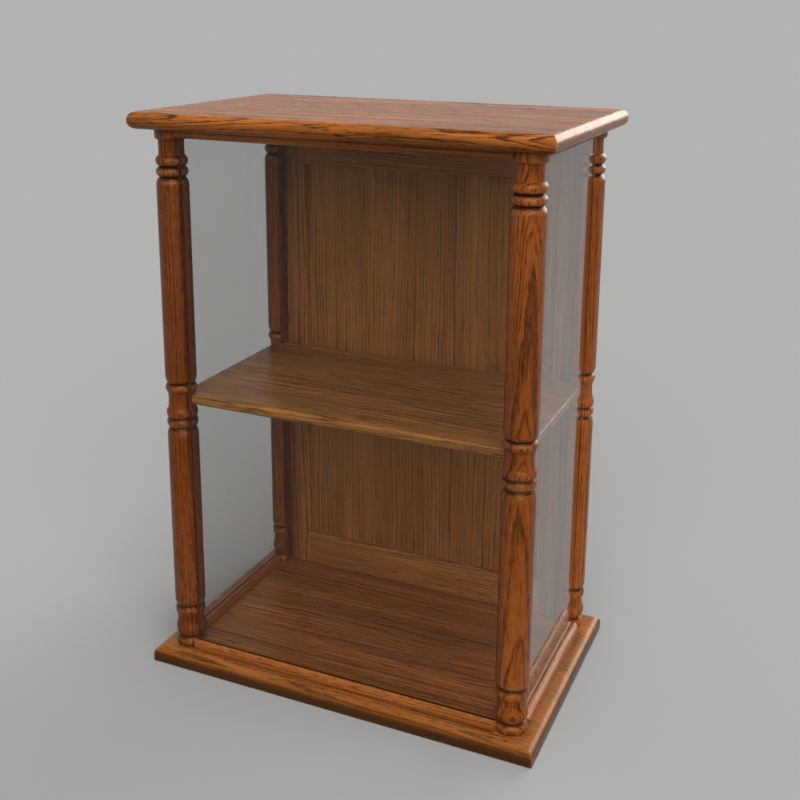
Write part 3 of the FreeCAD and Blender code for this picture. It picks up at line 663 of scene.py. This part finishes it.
def ringed_form(name, outline, profile, place):
    """Closed form with one ring for each step of a profile.

    outline(inset) lists a ring's points and how far each lies towards a corner, from 0 to 1, where wear and a
    painted highlight are added. profile lists insets, levels and wear with painted light and shade, and
    place(u, v, level) puts a point into the case.
    """
    form = bmesh.new()
    wear_and_shading_layer = form.verts.layers.float.new("wear_and_shading")
    rings = []
    for inset, level, wear_and_shading in profile:
        ring = []
        for u, v, corner in outline(inset):
            vertex = form.verts.new(place(u, v, level))
            vertex[wear_and_shading_layer] = wear_and_shading + corner * CORNER_WEAR_AND_HIGHLIGHT
            ring.append(vertex)
        rings.append(ring)
    for lower, upper in zip(rings, rings[1:]):
        for index in range(len(lower)):
            after = (index + 1) % len(lower)
            form.faces.new((lower[index], lower[after], upper[after], upper[index]))
    form.faces.new(list(reversed(rings[0])))
    form.faces.new(rings[-1])
    return mesh_from(form, name)


def rectangle(low_u, high_u, low_v, high_v, worn_and_highlit=0.0):
    """Outline of a rectangle that shrinks by an inset, worn and painted with a highlight near its corners."""
    def points(inset):
        corners = (Vector((low_u + inset, low_v + inset)), Vector((high_u - inset, low_v + inset)),
                   Vector((high_u - inset, high_v - inset)), Vector((low_u + inset, high_v - inset)))
        ring = []
        for index, corner in enumerate(corners):
            after = corners[(index + 1) % 4]
            step = (after - corner).normalized() * worn_and_highlit
            ring.append((corner.x, corner.y, 1.0 if worn_and_highlit else 0.0))
            if worn_and_highlit:
                ring.append((corner.x + step.x, corner.y + step.y, 0.0))
                ring.append((after.x - step.x, after.y - step.y, 0.0))
        return ring
    return points


def eased_block(name, low, high, ease, steps):
    """Block with all its edges eased."""
    form = bmesh.new()
    bmesh.ops.create_cube(form, size=1.0)
    bmesh.ops.scale(form, vec=high - low, verts=form.verts)
    bmesh.ops.translate(form, vec=(high + low) / 2, verts=form.verts)
    bmesh.ops.bevel(form, geom=form.edges[:], offset=ease, segments=steps, profile=0.5, affect="EDGES")
    return mesh_from(form, name)


# Geometry node trees

def new_tree(name, inputs):
    """New geometry node tree with named inputs, of which the last is a material, and one output."""
    tree = bpy.data.node_groups.new(name, "GeometryNodeTree")
    for label, kind in inputs + (("Material", "Material"),):
        tree.interface.new_socket(label, in_out="INPUT", socket_type="NodeSocket" + kind)
    tree.interface.new_socket("Form", in_out="OUTPUT", socket_type="NodeSocketGeometry")
    w = Wiring(tree)
    return tree, w, w.add("NodeGroupInput").outputs


def end_tree(w, given, form):
    """Makes a tree's instances real and gives them the material."""
    real = w.add("GeometryNodeRealizeInstances", {0: form})
    finished = w.add("GeometryNodeSetMaterial", {"Geometry": real.outputs[0], "Material": given["Material"]})
    w.add("NodeGroupOutput", {"Form": finished.outputs[0]})


def turned_tree():
    """Turns an outline round its own upright line, then cuts two box-shaped notches out of it."""
    made = bpy.data.node_groups.get("Turned Form")
    if made:
        return made
    cuts = ("First Cut", "Second Cut")
    inputs = [("Outline", "Geometry"), ("Segments", "Int")]
    for label in cuts:
        inputs += [(label + " Size", "Vector"), (label + " Place", "Vector")]
    tree, w, given = new_tree("Turned Form", tuple(inputs))
    line = w.add("GeometryNodeMeshToCurve", {"Mesh": given["Outline"]})
    radius = w.add("GeometryNodeInputNamedAttribute", {"Name": "turn_radius"}, data_type="FLOAT")
    circle = w.add("GeometryNodeCurvePrimitiveCircle", {"Resolution": given["Segments"], "Radius": 1.0})
    turned = w.add("GeometryNodeCurveToMesh", {
        "Curve": line.outputs[0], "Profile Curve": circle.outputs[0], "Scale": radius.outputs[0],
        "Fill Caps": True})
    form = turned.outputs[0]
    for label in cuts:
        block = w.add("GeometryNodeMeshCube", {"Size": given[label + " Size"]})
        moved = w.add("GeometryNodeTransform", {
            "Geometry": block.outputs[0], "Translation": given[label + " Place"]})
        notched = w.add("GeometryNodeMeshBoolean", {0: form, 1: moved.outputs[0]},
                        operation="DIFFERENCE", solver="EXACT")
        form = notched.outputs[0]
    end_tree(w, given, form)
    return tree


def screw_tree():
    """Stands one screw at each point, driven round by a seeded angle."""
    made = bpy.data.node_groups.get("Driven Screws")
    if made:
        return made
    tree, w, given = new_tree("Driven Screws", (
        ("Points", "Geometry"), ("Screw", "Object"), ("Direction", "Vector"), ("Seed", "Int")))
    screw = w.add("GeometryNodeObjectInfo", {"Object": given["Screw"]})
    angle = w.add("FunctionNodeRandomValue", {2: 0.0, 3: math.pi, "Seed": given["Seed"]}, data_type="FLOAT")
    spin = w.add("FunctionNodeAxisAngleToRotation", {"Axis": (0, 0, 1), "Angle": angle.outputs[1]})
    aimed = w.add("FunctionNodeAlignRotationToVector", {"Vector": given["Direction"]}, axis="Z")
    turn = w.add("FunctionNodeRotateRotation", {0: aimed.outputs[0], 1: spin.outputs[0]},
                 rotation_space="LOCAL")
    placed = w.add("GeometryNodeInstanceOnPoints", {
        "Points": given["Points"], "Instance": screw.outputs["Geometry"], "Rotation": turn.outputs[0]})
    end_tree(w, given, placed.outputs[0])
    return tree


def run_tree(source, tree, **inputs):
    """Puts a tree on an object and sets its inputs by their sockets' identifiers."""
    modifier = source.modifiers.new(tree.name, "NODES")
    modifier.node_group = tree
    identifiers = {item.name.replace(" ", "_").lower(): item.identifier
                   for item in tree.interface.items_tree if item.in_out == "INPUT"}
    for name, value in inputs.items():
        modifier[identifiers[name]] = value
    return evaluated_mesh(source)


def outline_object(name, points, foot, wear_and_shading=None):
    """Upright line with a turning radius and a wear, with painted light and shade, at each point. Points are
    radii and heights.
    """
    mesh = bpy.data.meshes.new(name)
    vertices = [(foot[0], foot[1], foot[2] + height) for radius, height in points]
    mesh.from_pydata(vertices, [(index, index + 1) for index in range(len(points) - 1)], [])
    radii = mesh.attributes.new("turn_radius", "FLOAT", "POINT")
    radii.data.foreach_set("value", [radius for radius, height in points])
    worn_and_highlit = mesh.attributes.new("wear_and_shading", "FLOAT", "POINT")
    worn_and_highlit.data.foreach_set("value", wear_and_shading or [0.0] * len(points))
    return loose_object(name, mesh)


# Turned outline of a post

def circle_through(first, middle, last):
    """Centre and radius of the circle through three points."""
    (ax, ay), (bx, by), (cx, cy) = first, middle, last
    area = 2 * (ax * (by - cy) + bx * (cy - ay) + cx * (ay - by))
    a = ax * ax + ay * ay
    b = bx * bx + by * by
    c = cx * cx + cy * cy
    x = (a * (by - cy) + b * (cy - ay) + c * (ay - by)) / area
    y = (a * (cx - bx) + b * (ax - cx) + c * (bx - ax)) / area
    return (x, y), math.hypot(ax - x, ay - y)


def arc_points(first, middle, last, steps):
    """Points after first along the arc through middle to last."""
    centre, radius = circle_through(first, middle, last)
    angles = [math.atan2(point[1] - centre[1], point[0] - centre[0]) for point in (first, middle, last)]
    sweep = (angles[2] - angles[0]) % math.tau
    if (angles[1] - angles[0]) % math.tau > sweep:
        sweep -= math.tau
    points = []
    for step in range(1, steps + 1):
        angle = angles[0] + sweep * step / steps
        points.append((centre[0] + radius * math.cos(angle), centre[1] + radius * math.sin(angle)))
    return points


def shoulder_middle(shaft, groove, rise):
    """Radius and rise at the middle of the round between a shaft and a groove."""
    drop = shaft - groove
    radius = (drop * drop + rise * rise) / (2 * drop)
    half = math.asin(rise / radius) / 2
    return shaft - radius * (1 - math.cos(half)), radius * math.sin(half)


def post_points(steps):
    """Radii and heights along a post, in metres, from the foot up."""
    points = [POST_OUTLINE[0][1:]]
    for step in POST_OUTLINE[1:]:
        last = points[-1]
        end = step[-2:]
        if step[0] == "line":
            points.append(end)
            continue
        if step[0] == "arc":
            middle = step[1:3]
        elif step[0] == "shoulder up":
            radius, rise = shoulder_middle(end[0], last[0], end[1] - last[1])
            middle = (radius, end[1] - rise)
        else:
            radius, rise = shoulder_middle(last[0], end[0], end[1] - last[1])
            middle = (radius, last[1] + rise)
        points.extend(arc_points(last, middle, end, steps))
    return [(radius * MM, height * MM) for radius, height in points]


def post_wear_and_shading(points, reach=0.006, full=0.0016):
    """Wear along an outline: up to 1 on what stands proud, as wear and painted highlight, down to -1 in a
    groove between two walls, as gathered stain and painted shade.
    """
    wear_and_shading = []
    for radius, height in points:
        below = [other for other, level in points if height - reach <= level <= height]
        above = [other for other, level in points if height <= level <= height + reach]
        proud = radius - (sum(below) + sum(above)) / (len(below) + len(above))
        sunk = min(max(below), max(above)) - radius
        wear_and_shading.append(max(-1.0, -sunk / full) if sunk > 0 else max(0.0, min(1.0, proud / full)))
    return wear_and_shading


# Operators, one for each group of pieces

class BuildPosts(bpy.types.Operator):
    """Turn the four posts, with their glass grooves and door flats"""
    bl_idname = "display_case.posts"
    bl_label = "Turned posts"

    def execute(self, context):
        sizes = context.scene.display_case.posts
        points = post_points(sizes.arc_steps)
        # Wear with painted highlights on the beads and painted shade in the grooves
        wear_and_shading = post_wear_and_shading(points)
        shaft = max(radius for radius, height in points)
        for corner, (heart, lean, stain_and_lighting) in POST_OAK.items():
            node = "post_" + corner
            low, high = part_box(node)
            side_x = 1 if "right" in corner else -1
            side_y = 1 if "rear" in corner else -1
            outer_x = high.x if side_x > 0 else low.x
            foot = Vector((outer_x - side_x * shaft, (low.y + high.y) / 2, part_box("base_board")[1].z))
            length = points[-1][1]
            middle = foot + Vector((0, 0, length / 2))
            centre = middle + Vector((heart[0], heart[1], 0))
            material = oak("oak_" + node, "Z", centre, (lean[0], lean[1], 0.0), stain_and_lighting, ring=POST_RING,
                           bold=POST_BOLD)
            first, second = self.cuts(sizes, middle, length, side_x, side_y)
            source = outline_object("outline_" + corner, points, foot, wear_and_shading)
            mesh = run_tree(source, turned_tree(), segments=sizes.segments, material=material,
                            first_cut_size=first[0], first_cut_place=first[1],
                            second_cut_size=second[0], second_cut_place=second[1])
            add_piece("turned_" + node, mesh, material, "case", "oak_turned", node)
        return {"FINISHED"}

    def cuts(self, sizes, middle, length, side_x, side_y):
        """Size and place of the two notches: one groove for each pane, or a groove and the door's flat."""
        tall = length * CUT_LENGTH
        inward = sizes.groove_floor + CUT_DEPTH / 2
        side = (Vector((sizes.groove, CUT_DEPTH, tall)),
                middle + Vector((side_x * sizes.outset, -side_y * inward, 0)))
        if side_y < 0:
            front = (Vector((CUT_DEPTH, sizes.groove, tall)),
                     middle + Vector((-side_x * inward, side_y * sizes.outset, 0)))
            return side, front
        flat = (Vector((CUT_DEPTH, FLAT_WIDTH, tall)),
                middle + Vector((-side_x * (sizes.flat + CUT_DEPTH / 2), 0, 0)))
        return side, flat


class BuildBoards(bpy.types.Operator):
    """Make the top and base boards with their rounded, mitred edges"""
    bl_idname = "display_case.boards"
    bl_label = "Top and base boards"

    def execute(self, context):
        sizes = context.scene.display_case.boards
        jobs = (
            ("top_board", sizes.top_nose, sizes.top_nose, TOP_EDGE_WEAR_AND_SHADING),
            ("base_board", sizes.base_round, sizes.base_ease, BASE_EDGE_WEAR_AND_SHADING),
        )
        for node, top_round, bottom_round, wear_and_shading in jobs:
            low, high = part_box(node)
            profile = self.edge(low.z, high.z, top_round, bottom_round, wear_and_shading, sizes.edge_steps)
            outline = rectangle(low.x, high.x, low.y, high.y, CORNER_WEAR_AND_HIGHLIGHT_REACH)
            mesh = ringed_form(node, outline, profile, lambda u, v, level: (u, v, level))
            material = oak("oak_" + node, **PIECE_OAK[node])
            add_piece("edged_" + node, mesh, material, "case", "oak_board", node)
        return {"FINISHED"}

    def edge(self, low, high, top_round, bottom_round, edge_wear_and_shading, steps):
        """Inset, height and wear round a board's edge, from the underside's flat to the top's flat.

        The edge's wear is given for its underside, for its middle and for the top's rim; below 0 it is
        painted shade.
        The crest, where the round meets the top, is lightened most, as wear and as a painted highlight.
        """
        under, middle, rim = edge_wear_and_shading
        profile = []
        for step in range(steps + 1):
            angle = math.pi / 2 * step / steps
            inset = bottom_round * (1 - math.sin(angle))
            profile.append((inset, low + bottom_round * (1 - math.cos(angle)), under))
        profile.append((0.0, (low + bottom_round + high - top_round) / 2, (under + middle) / 2))
        for step in range(steps + 1):
            share = step / steps
            angle = math.pi / 2 * share
            inset = top_round * (1 - math.cos(angle))
            wear_and_shading = middle * (1 - share) + CREST_WEAR_AND_HIGHLIGHT * share ** 2
            profile.append((inset, high - top_round * (1 - math.sin(angle)), wear_and_shading))
        profile.append((top_round + ARRIS_WEAR_REACH, high, rim))
        profile.append((RIM_WEAR_REACH, high, 0.0))
        return profile


class FinishRails(bpy.types.Operator):
    """Finish the half-round glazing rails"""
    bl_idname = "display_case.rails"
    bl_label = "Glazing rails"

    def execute(self, context):
        along = oak("oak_rail_front", wear_and_shading_at=self.wear_and_shading_round("glass_front", 1), **PIECE_OAK["front_rails"])
        across = oak("oak_rail_side", wear_and_shading_at=self.wear_and_shading_round("glass_right", 0), **PIECE_OAK["side_rails"])
        for level in ("bottom", "top"):
            finish_node(level + "_rail_front", along)
            finish_node(level + "_rail_left", across)
            finish_node(level + "_rail_right", across)
        return {"FINISHED"}

    def wear_and_shading_round(self, pane, axis):
        """Wear of a rail by its distance from the pane: painted shade in groove and feet, and a worn crest
        with a painted highlight.
        """
        low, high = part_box(pane)
        middle = abs((low + high)[axis]) / 2
        rail_low, rail_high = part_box("bottom_rail_" + pane.split("_")[1])
        half = (rail_high - rail_low)[axis] / 2

        def wear_and_shading_at(w, place):
            parts = w.add("ShaderNodeSeparateXYZ", {0: place}).outputs
            away = w.math("ABSOLUTE", w.math("SUBTRACT", w.math("ABSOLUTE", parts[axis]), middle))
            share = w.math("DIVIDE", away, half)
            return w.span(w.ramp(share, RAIL_WEAR_AND_SHADING), (0.0, 1.0), (-1.0, 1.0))
        return wear_and_shading_at


class FinishShelf(bpy.types.Operator):
    """Finish the shelf"""
    bl_idname = "display_case.shelf"
    bl_label = "Shelf"

    def execute(self, context):
        finish_node("shelf", oak("oak_shelf", **PIECE_OAK["shelf"]))
        return {"FINISHED"}


class BuildGlass(bpy.types.Operator):
    """Make the three panes with their ground edges"""
    bl_idname = "display_case.glass"
    bl_label = "Panes"

    def execute(self, context):
        finish = context.scene.display_case.glass
        front = clear_glass("front_glass", finish.ior)
        sides = clear_glass("side_glass", finish.side_ior)
        for side, material in (("front", front), ("left", sides), ("right", sides)):
            node = "glass_" + side
            mesh = eased_block(node, *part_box(node), finish.arris, 1)
            add_piece("pane_" + side, mesh, material, "case", "glass", node)
        return {"FINISHED"}


class BuildDoor(bpy.types.Operator):
    """Make the framed door, its panel and the header above it"""
    bl_idname = "display_case.door"
    bl_label = "Door and header"

    def execute(self, context):
        sizes = context.scene.display_case.door
        low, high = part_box("door_hinge_stile")
        left = high.x
        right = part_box("door_latch_stile")[0].x
        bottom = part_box("door_bottom_rail")[1].z
        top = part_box("door_top_rail")[0].z
        panel_low, panel_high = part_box("door_panel")
        cutter = self.opening(sizes, (left, right, bottom, top), (low.y, high.y), (panel_low.y, panel_high.y))
        for node in ("door_hinge_stile", "door_latch_stile"):
            self.member(node, *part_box(node), sizes.arris, oak("oak_" + node, **PIECE_OAK[node]), cutter)
        level = oak("oak_door_rails", **PIECE_OAK["door_rails"])
        for node in ("door_top_rail", "door_bottom_rail"):
            rail_low, rail_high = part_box(node)
            rail_low.x = left
            rail_high.x = right
            self.member(node, rail_low, rail_high, sizes.arris, level, cutter)
        bpy.data.objects.remove(cutter)
        panel = oak("oak_door_panel", **PIECE_OAK["door_panel"])
        mesh = eased_block("door_panel", panel_low, panel_high, sizes.arris, 2)
        add_piece("framed_door_panel", mesh, panel, "door", "oak_door", "door_panel")
        header = oak("oak_rear_header", **PIECE_OAK["rear_header"])
        mesh = eased_block("rear_header", *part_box("rear_header"), sizes.arris, 2)
        add_piece("eased_rear_header", mesh, header, "case", "oak_door", "rear_header")
        return {"FINISHED"}

    def opening(self, sizes, edges, faces, panel):
        """Cutter for the panel's opening: the moulding, the groove and a small ease at the back."""
        left, right, bottom, top = edges
        front, back = faces
        width = sizes.moulding
        quirk = sizes.quirk
        round_width = width - quirk
        beyond = 0.002
        profile = [(-width, front - beyond, 0.0), (-width, front + quirk, 0.0)]
        steps = 8
        for step in range(steps + 1):
            angle = math.pi / 2 * step / steps
            grow = round_width * (1 - math.sin(angle))
            profile.append((-grow, front + quirk + round_width * (1 - math.cos(angle)), 0.0))
        profile += [
            (0.0, panel[0] - sizes.play, 0.0), (-sizes.groove, panel[0] - sizes.play, 0.0),
            (-sizes.groove, panel[1] + sizes.play, 0.0), (0.0, panel[1] + sizes.play, 0.0),
            (0.0, back - sizes.arris, 0.0), (-sizes.arris - beyond, back + beyond, 0.0),
        ]
        mesh = ringed_form("door_opening", rectangle(left, right, bottom, top), profile,
                           lambda u, v, level: (u, level, v))
        return loose_object("door_opening", mesh)

    def member(self, node, low, high, ease, material, cutter):
        bar = loose_object("bar_" + node, eased_block(node, low, high, ease, 2))
        cut = bar.modifiers.new("opening", "BOOLEAN")
        cut.object = cutter
        cut.operation = "DIFFERENCE"
        cut.solver = "EXACT"
        mesh = evaluated_mesh(bar)
        add_piece("moulded_" + node, mesh, material, "door", "oak_door", node)


class BuildScrews(bpy.types.Operator):
    """Drive the slotted screws of the hinges, the knob and the turn button"""
    bl_idname = "display_case.screws"
    bl_label = "Screws"

    def execute(self, context):
        sizes = context.scene.display_case.screws
        material = old_brass()
        jobs = (
            ("hinge_post_screws", "case", Vector((1, 0, 0)), True),
            ("hinge_door_screws", "door", Vector((-1, 0, 0)), True),
            ("knob_screw", "door", Vector((0, -1, 0)), False),
            ("turn_button_screw", "case", Vector((0, 1, 0)), False),
        )
        for node, body, outward, countersunk in jobs:
            low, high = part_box(node)
            middle = (low + high) / 2
            half = (high - low) / 2
            face = middle + Vector([part * reach for part, reach in zip(outward, half)])
            length = 2 * abs(outward.dot(half))
            if countersunk:
                master = self.turned(sizes, material, self.flat_head(sizes, length))
                spread = [step * sizes.pitch for step in range(3)]
                heights = [low.z + sizes.head + step for step in spread]
                heights += [high.z - sizes.head - step for step in spread]
            else:
                master = self.turned(sizes, material, self.round_head(half.z, length))
                heights = [middle.z]
            points = bpy.data.meshes.new("points_" + node)
            points.from_pydata([(face.x, face.y, height) for height in heights], [], [])
            mesh = run_tree(loose_object("points_" + node, points), screw_tree(), screw=master,
                            direction=outward, seed=sizes.seed, material=material)
            bpy.data.objects.remove(master)
            add_piece("driven_" + node, mesh, material, body, "brass", node)
        return {"FINISHED"}

    def flat_head(self, sizes, length):
        """Outline of a countersunk screw from its tip to its head's face, at height 0."""
        rim = 0.0002
        tip = 0.0002
        taper = 0.003
        cone = sizes.head - sizes.shank
        return ((tip, -length), (sizes.shank, -length + taper), (sizes.shank, -cone - rim),
                (sizes.head, -rim), (sizes.head - rim, 0.0))

    def round_head(self, head, length):
        """Outline of a round-headed screw from its end to its head's crown, at height 0."""
        rise = 0.0016
        shank = head * 0.5
        tip = shank * 0.8
        taper = 0.0008
        crown = head * 0.12
        fullness = 0.6
        points = [(tip, -length), (shank, -length + taper), (shank, -rise), (head, -rise)]
        steps = 8
        for step in range(1, steps):
            angle = math.pi / 2 * step / steps
            points.append((head * math.cos(angle) ** fullness, -rise + rise * math.sin(angle)))
        points.append((crown, 0.0))
        return points

    def turned(self, sizes, material, points):
        """One slotted screw, standing upright with the top of its head at the origin."""
        head = max(radius for radius, height in points)
        source = outline_object("screw_outline", points, (0.0, 0.0, 0.0))
        far = Vector((0.0, 0.0, 1.0))
        small = Vector((sizes.slot, sizes.slot, sizes.slot))
        slot = Vector((sizes.slot, 3 * head, 2 * sizes.slot_depth))
        mesh = run_tree(source, turned_tree(), segments=sizes.segments, material=material,
                        first_cut_size=slot, first_cut_place=Vector((0.0, 0.0, 0.0)),
                        second_cut_size=small, second_cut_place=far)
        return loose_object("screw_master", mesh)


class FinishFittings(bpy.types.Operator):
    """Finish the hinges and the knob, and make the turn button"""
    bl_idname = "display_case.fittings"
    bl_label = "Hinges, knob and turn button"

    def execute(self, context):
        material = old_brass()
        for level in ("upper", "lower"):
            for part in ("post_leaf", "door_leaf", "pin"):
                finish_node("hinge_" + level + "_" + part, material)
        finish_node("door_knob", material)
        low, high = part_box("turn_button")
        middle = (low + high) / 2
        ease = 0.0005
        bend = ease * 0.3
        profile = [(ease, low.y, 0.0), (0.0, low.y + ease, 0.0), (0.0, high.y - ease, 0.0),
                   (bend, high.y - bend, 0.0), (ease, high.y, 0.0)]
        mesh = ringed_form("turn_button", self.stadium(middle.x, middle.z, high - low), profile,
                           lambda u, v, level: (u, level, v))
        add_piece("eased_turn_button", mesh, material, "button", "brass", "turn_button")
        return {"FINISHED"}

    def stadium(self, x, z, size):
        """Outline of a bar with round ends."""
        radius = size.z / 2
        reach = size.x / 2 - radius
        steps = 24

        def corners(inset):
            points = []
            for side in (1, -1):
                for step in range(steps + 1):
                    angle = math.pi * step / steps - math.pi / 2
                    u = side * (reach + (radius - inset) * math.cos(angle))
                    points.append((x + u, z + side * (radius - inset) * math.sin(angle), 0.0))
            return points
        return corners


class BuildStage(bpy.types.Operator):
    """Set the floor, the light and the camera"""
    bl_idname = "display_case.stage"
    bl_label = "Floor, light and camera"

    def execute(self, context):
        stage = context.scene.display_case.stage
        self.floor(stage)
        self.light(context.scene, stage)
        self.camera(context.scene, stage)
        context.scene.view_settings.view_transform = "Standard"
        return {"FINISHED"}

    def seen_rays(self, w):
        """1 for a ray from the camera, or from a mirror or a pane that the camera sees, and otherwise 0."""
        path = w.add("ShaderNodeLightPath").outputs
        seen = w.math("MAXIMUM", path["Is Camera Ray"], path["Is Glossy Ray"])
        return w.math("MAXIMUM", seen, path["Is Transmission Ray"])

    def floor(self, stage):
        form = bmesh.new()
        bmesh.ops.create_circle(form, cap_ends=True, segments=FLOOR_SEGMENTS, radius=FLOOR_RADIUS)
        floor = loose_object("studio_floor", mesh_from(form, "studio_floor"))
        material, w, output = new_material("studio_floor")
        colour = w.mix(self.seen_rays(w), rgba(stage.bounce), rgba(stage.floor))
        surface = w.add("ShaderNodeBsdfDiffuse", {"Color": colour})
        w.tree.links.new(surface.outputs[0], output.inputs["Surface"])
        floor.data.materials.append(material)

    def light(self, scene, stage):
        """Even light and four soft lamps. The distance is as bright as the floor, so no horizon shows."""
        lit = Vector(stage.sky)
        lamps = (
            ("front_light", stage.front, stage.front_from, BROAD_LAMP),
            ("overhead_light", stage.overhead, stage.overhead_from, SOFT_LAMP),
            ("rim_light", stage.rim, stage.rim_from, SOFT_LAMP),
            ("rear_light", stage.rear, stage.rear_from, SOFT_LAMP),
        )
        for name, colour, place, spread in lamps:
            strength = Vector(colour)
            source = Vector(place).normalized()
            lit += strength * source.z / math.pi
            lamp = bpy.data.lights.new(name, "SUN")
            lamp.energy = max(strength)
            lamp.color = strength / lamp.energy
            lamp.angle = spread
            loose_object(name, lamp).matrix_world = source.to_track_quat("Z", "Y").to_matrix().to_4x4()
        distance = [colour * level for colour, level in zip(stage.floor, lit)]
        world = bpy.data.worlds.new("studio_sky")
        world.use_nodes = True
        world.node_tree.nodes.clear()
        w = Wiring(world.node_tree)
        even = w.add("ShaderNodeBackground", {"Color": rgba(stage.sky)})
        seen = w.add("ShaderNodeBackground", {"Color": rgba(distance)})
        both = w.add("ShaderNodeMixShader", {0: self.seen_rays(w), 1: even.outputs[0], 2: seen.outputs[0]})
        w.add("ShaderNodeOutputWorld", {"Surface": both.outputs[0]})
        scene.world = world

    def camera(self, scene, stage):
        lens = bpy.data.cameras.new("photo_camera")
        lens.sensor_width = SENSOR_WIDTH
        lens.lens = stage.lens
        lens.shift_x = stage.shift[0]
        lens.shift_y = stage.shift[1]
        lens.clip_end = FARTHEST_SEEN
        turn, tilt, roll = stage.turn
        right = Vector((math.cos(turn), math.sin(turn), 0.0))
        forward = Vector((-math.sin(turn) * math.cos(tilt), math.cos(turn) * math.cos(tilt), -math.sin(tilt)))
        down = forward.cross(right)
        rolled_right = right * math.cos(roll) + down * math.sin(roll)
        rolled_down = down * math.cos(roll) - right * math.sin(roll)
        axes = Matrix((rolled_right, -rolled_down, -forward)).transposed()
        made = loose_object("photo_camera", lens)
        made.matrix_world = Matrix.Translation(stage.camera) @ axes.to_4x4()
        scene.camera = made


class CasePanel(bpy.types.Panel):
    """Buttons for the pieces of the display case"""
    bl_idname = "VIEW3D_PT_display_case"
    bl_label = "Display Case"
    bl_space_type = "VIEW_3D"
    bl_region_type = "UI"
    bl_category = "Display Case"

    def draw(self, context):
        for operator in OPERATORS:
            self.layout.operator(operator.bl_idname)


SETTINGS = (OakFinish, PostSizes, BoardSizes, DoorSizes, GlassFinish, BrassFinish, ScrewSizes, StageSettings,
            CaseSettings)
OPERATORS = (BuildPosts, BuildBoards, FinishRails, FinishShelf, BuildGlass, BuildDoor, BuildScrews,
             FinishFittings, BuildStage)


def register():
    for kind in SETTINGS + OPERATORS + (CasePanel,):
        bpy.utils.register_class(kind)
    bpy.types.Scene.display_case = bpy.props.PointerProperty(type=CaseSettings)


def unregister():
    del bpy.types.Scene.display_case
    for kind in reversed(SETTINGS + OPERATORS + (CasePanel,)):
        bpy.utils.unregister_class(kind)


def main():
    register()
    operators = bpy.ops.display_case
    operators.posts()
    operators.boards()
    operators.rails()
    operators.shelf()
    operators.glass()
    operators.door()
    operators.screws()
    operators.fittings()
    operators.stage()


if __name__ == "__main__":
    main()
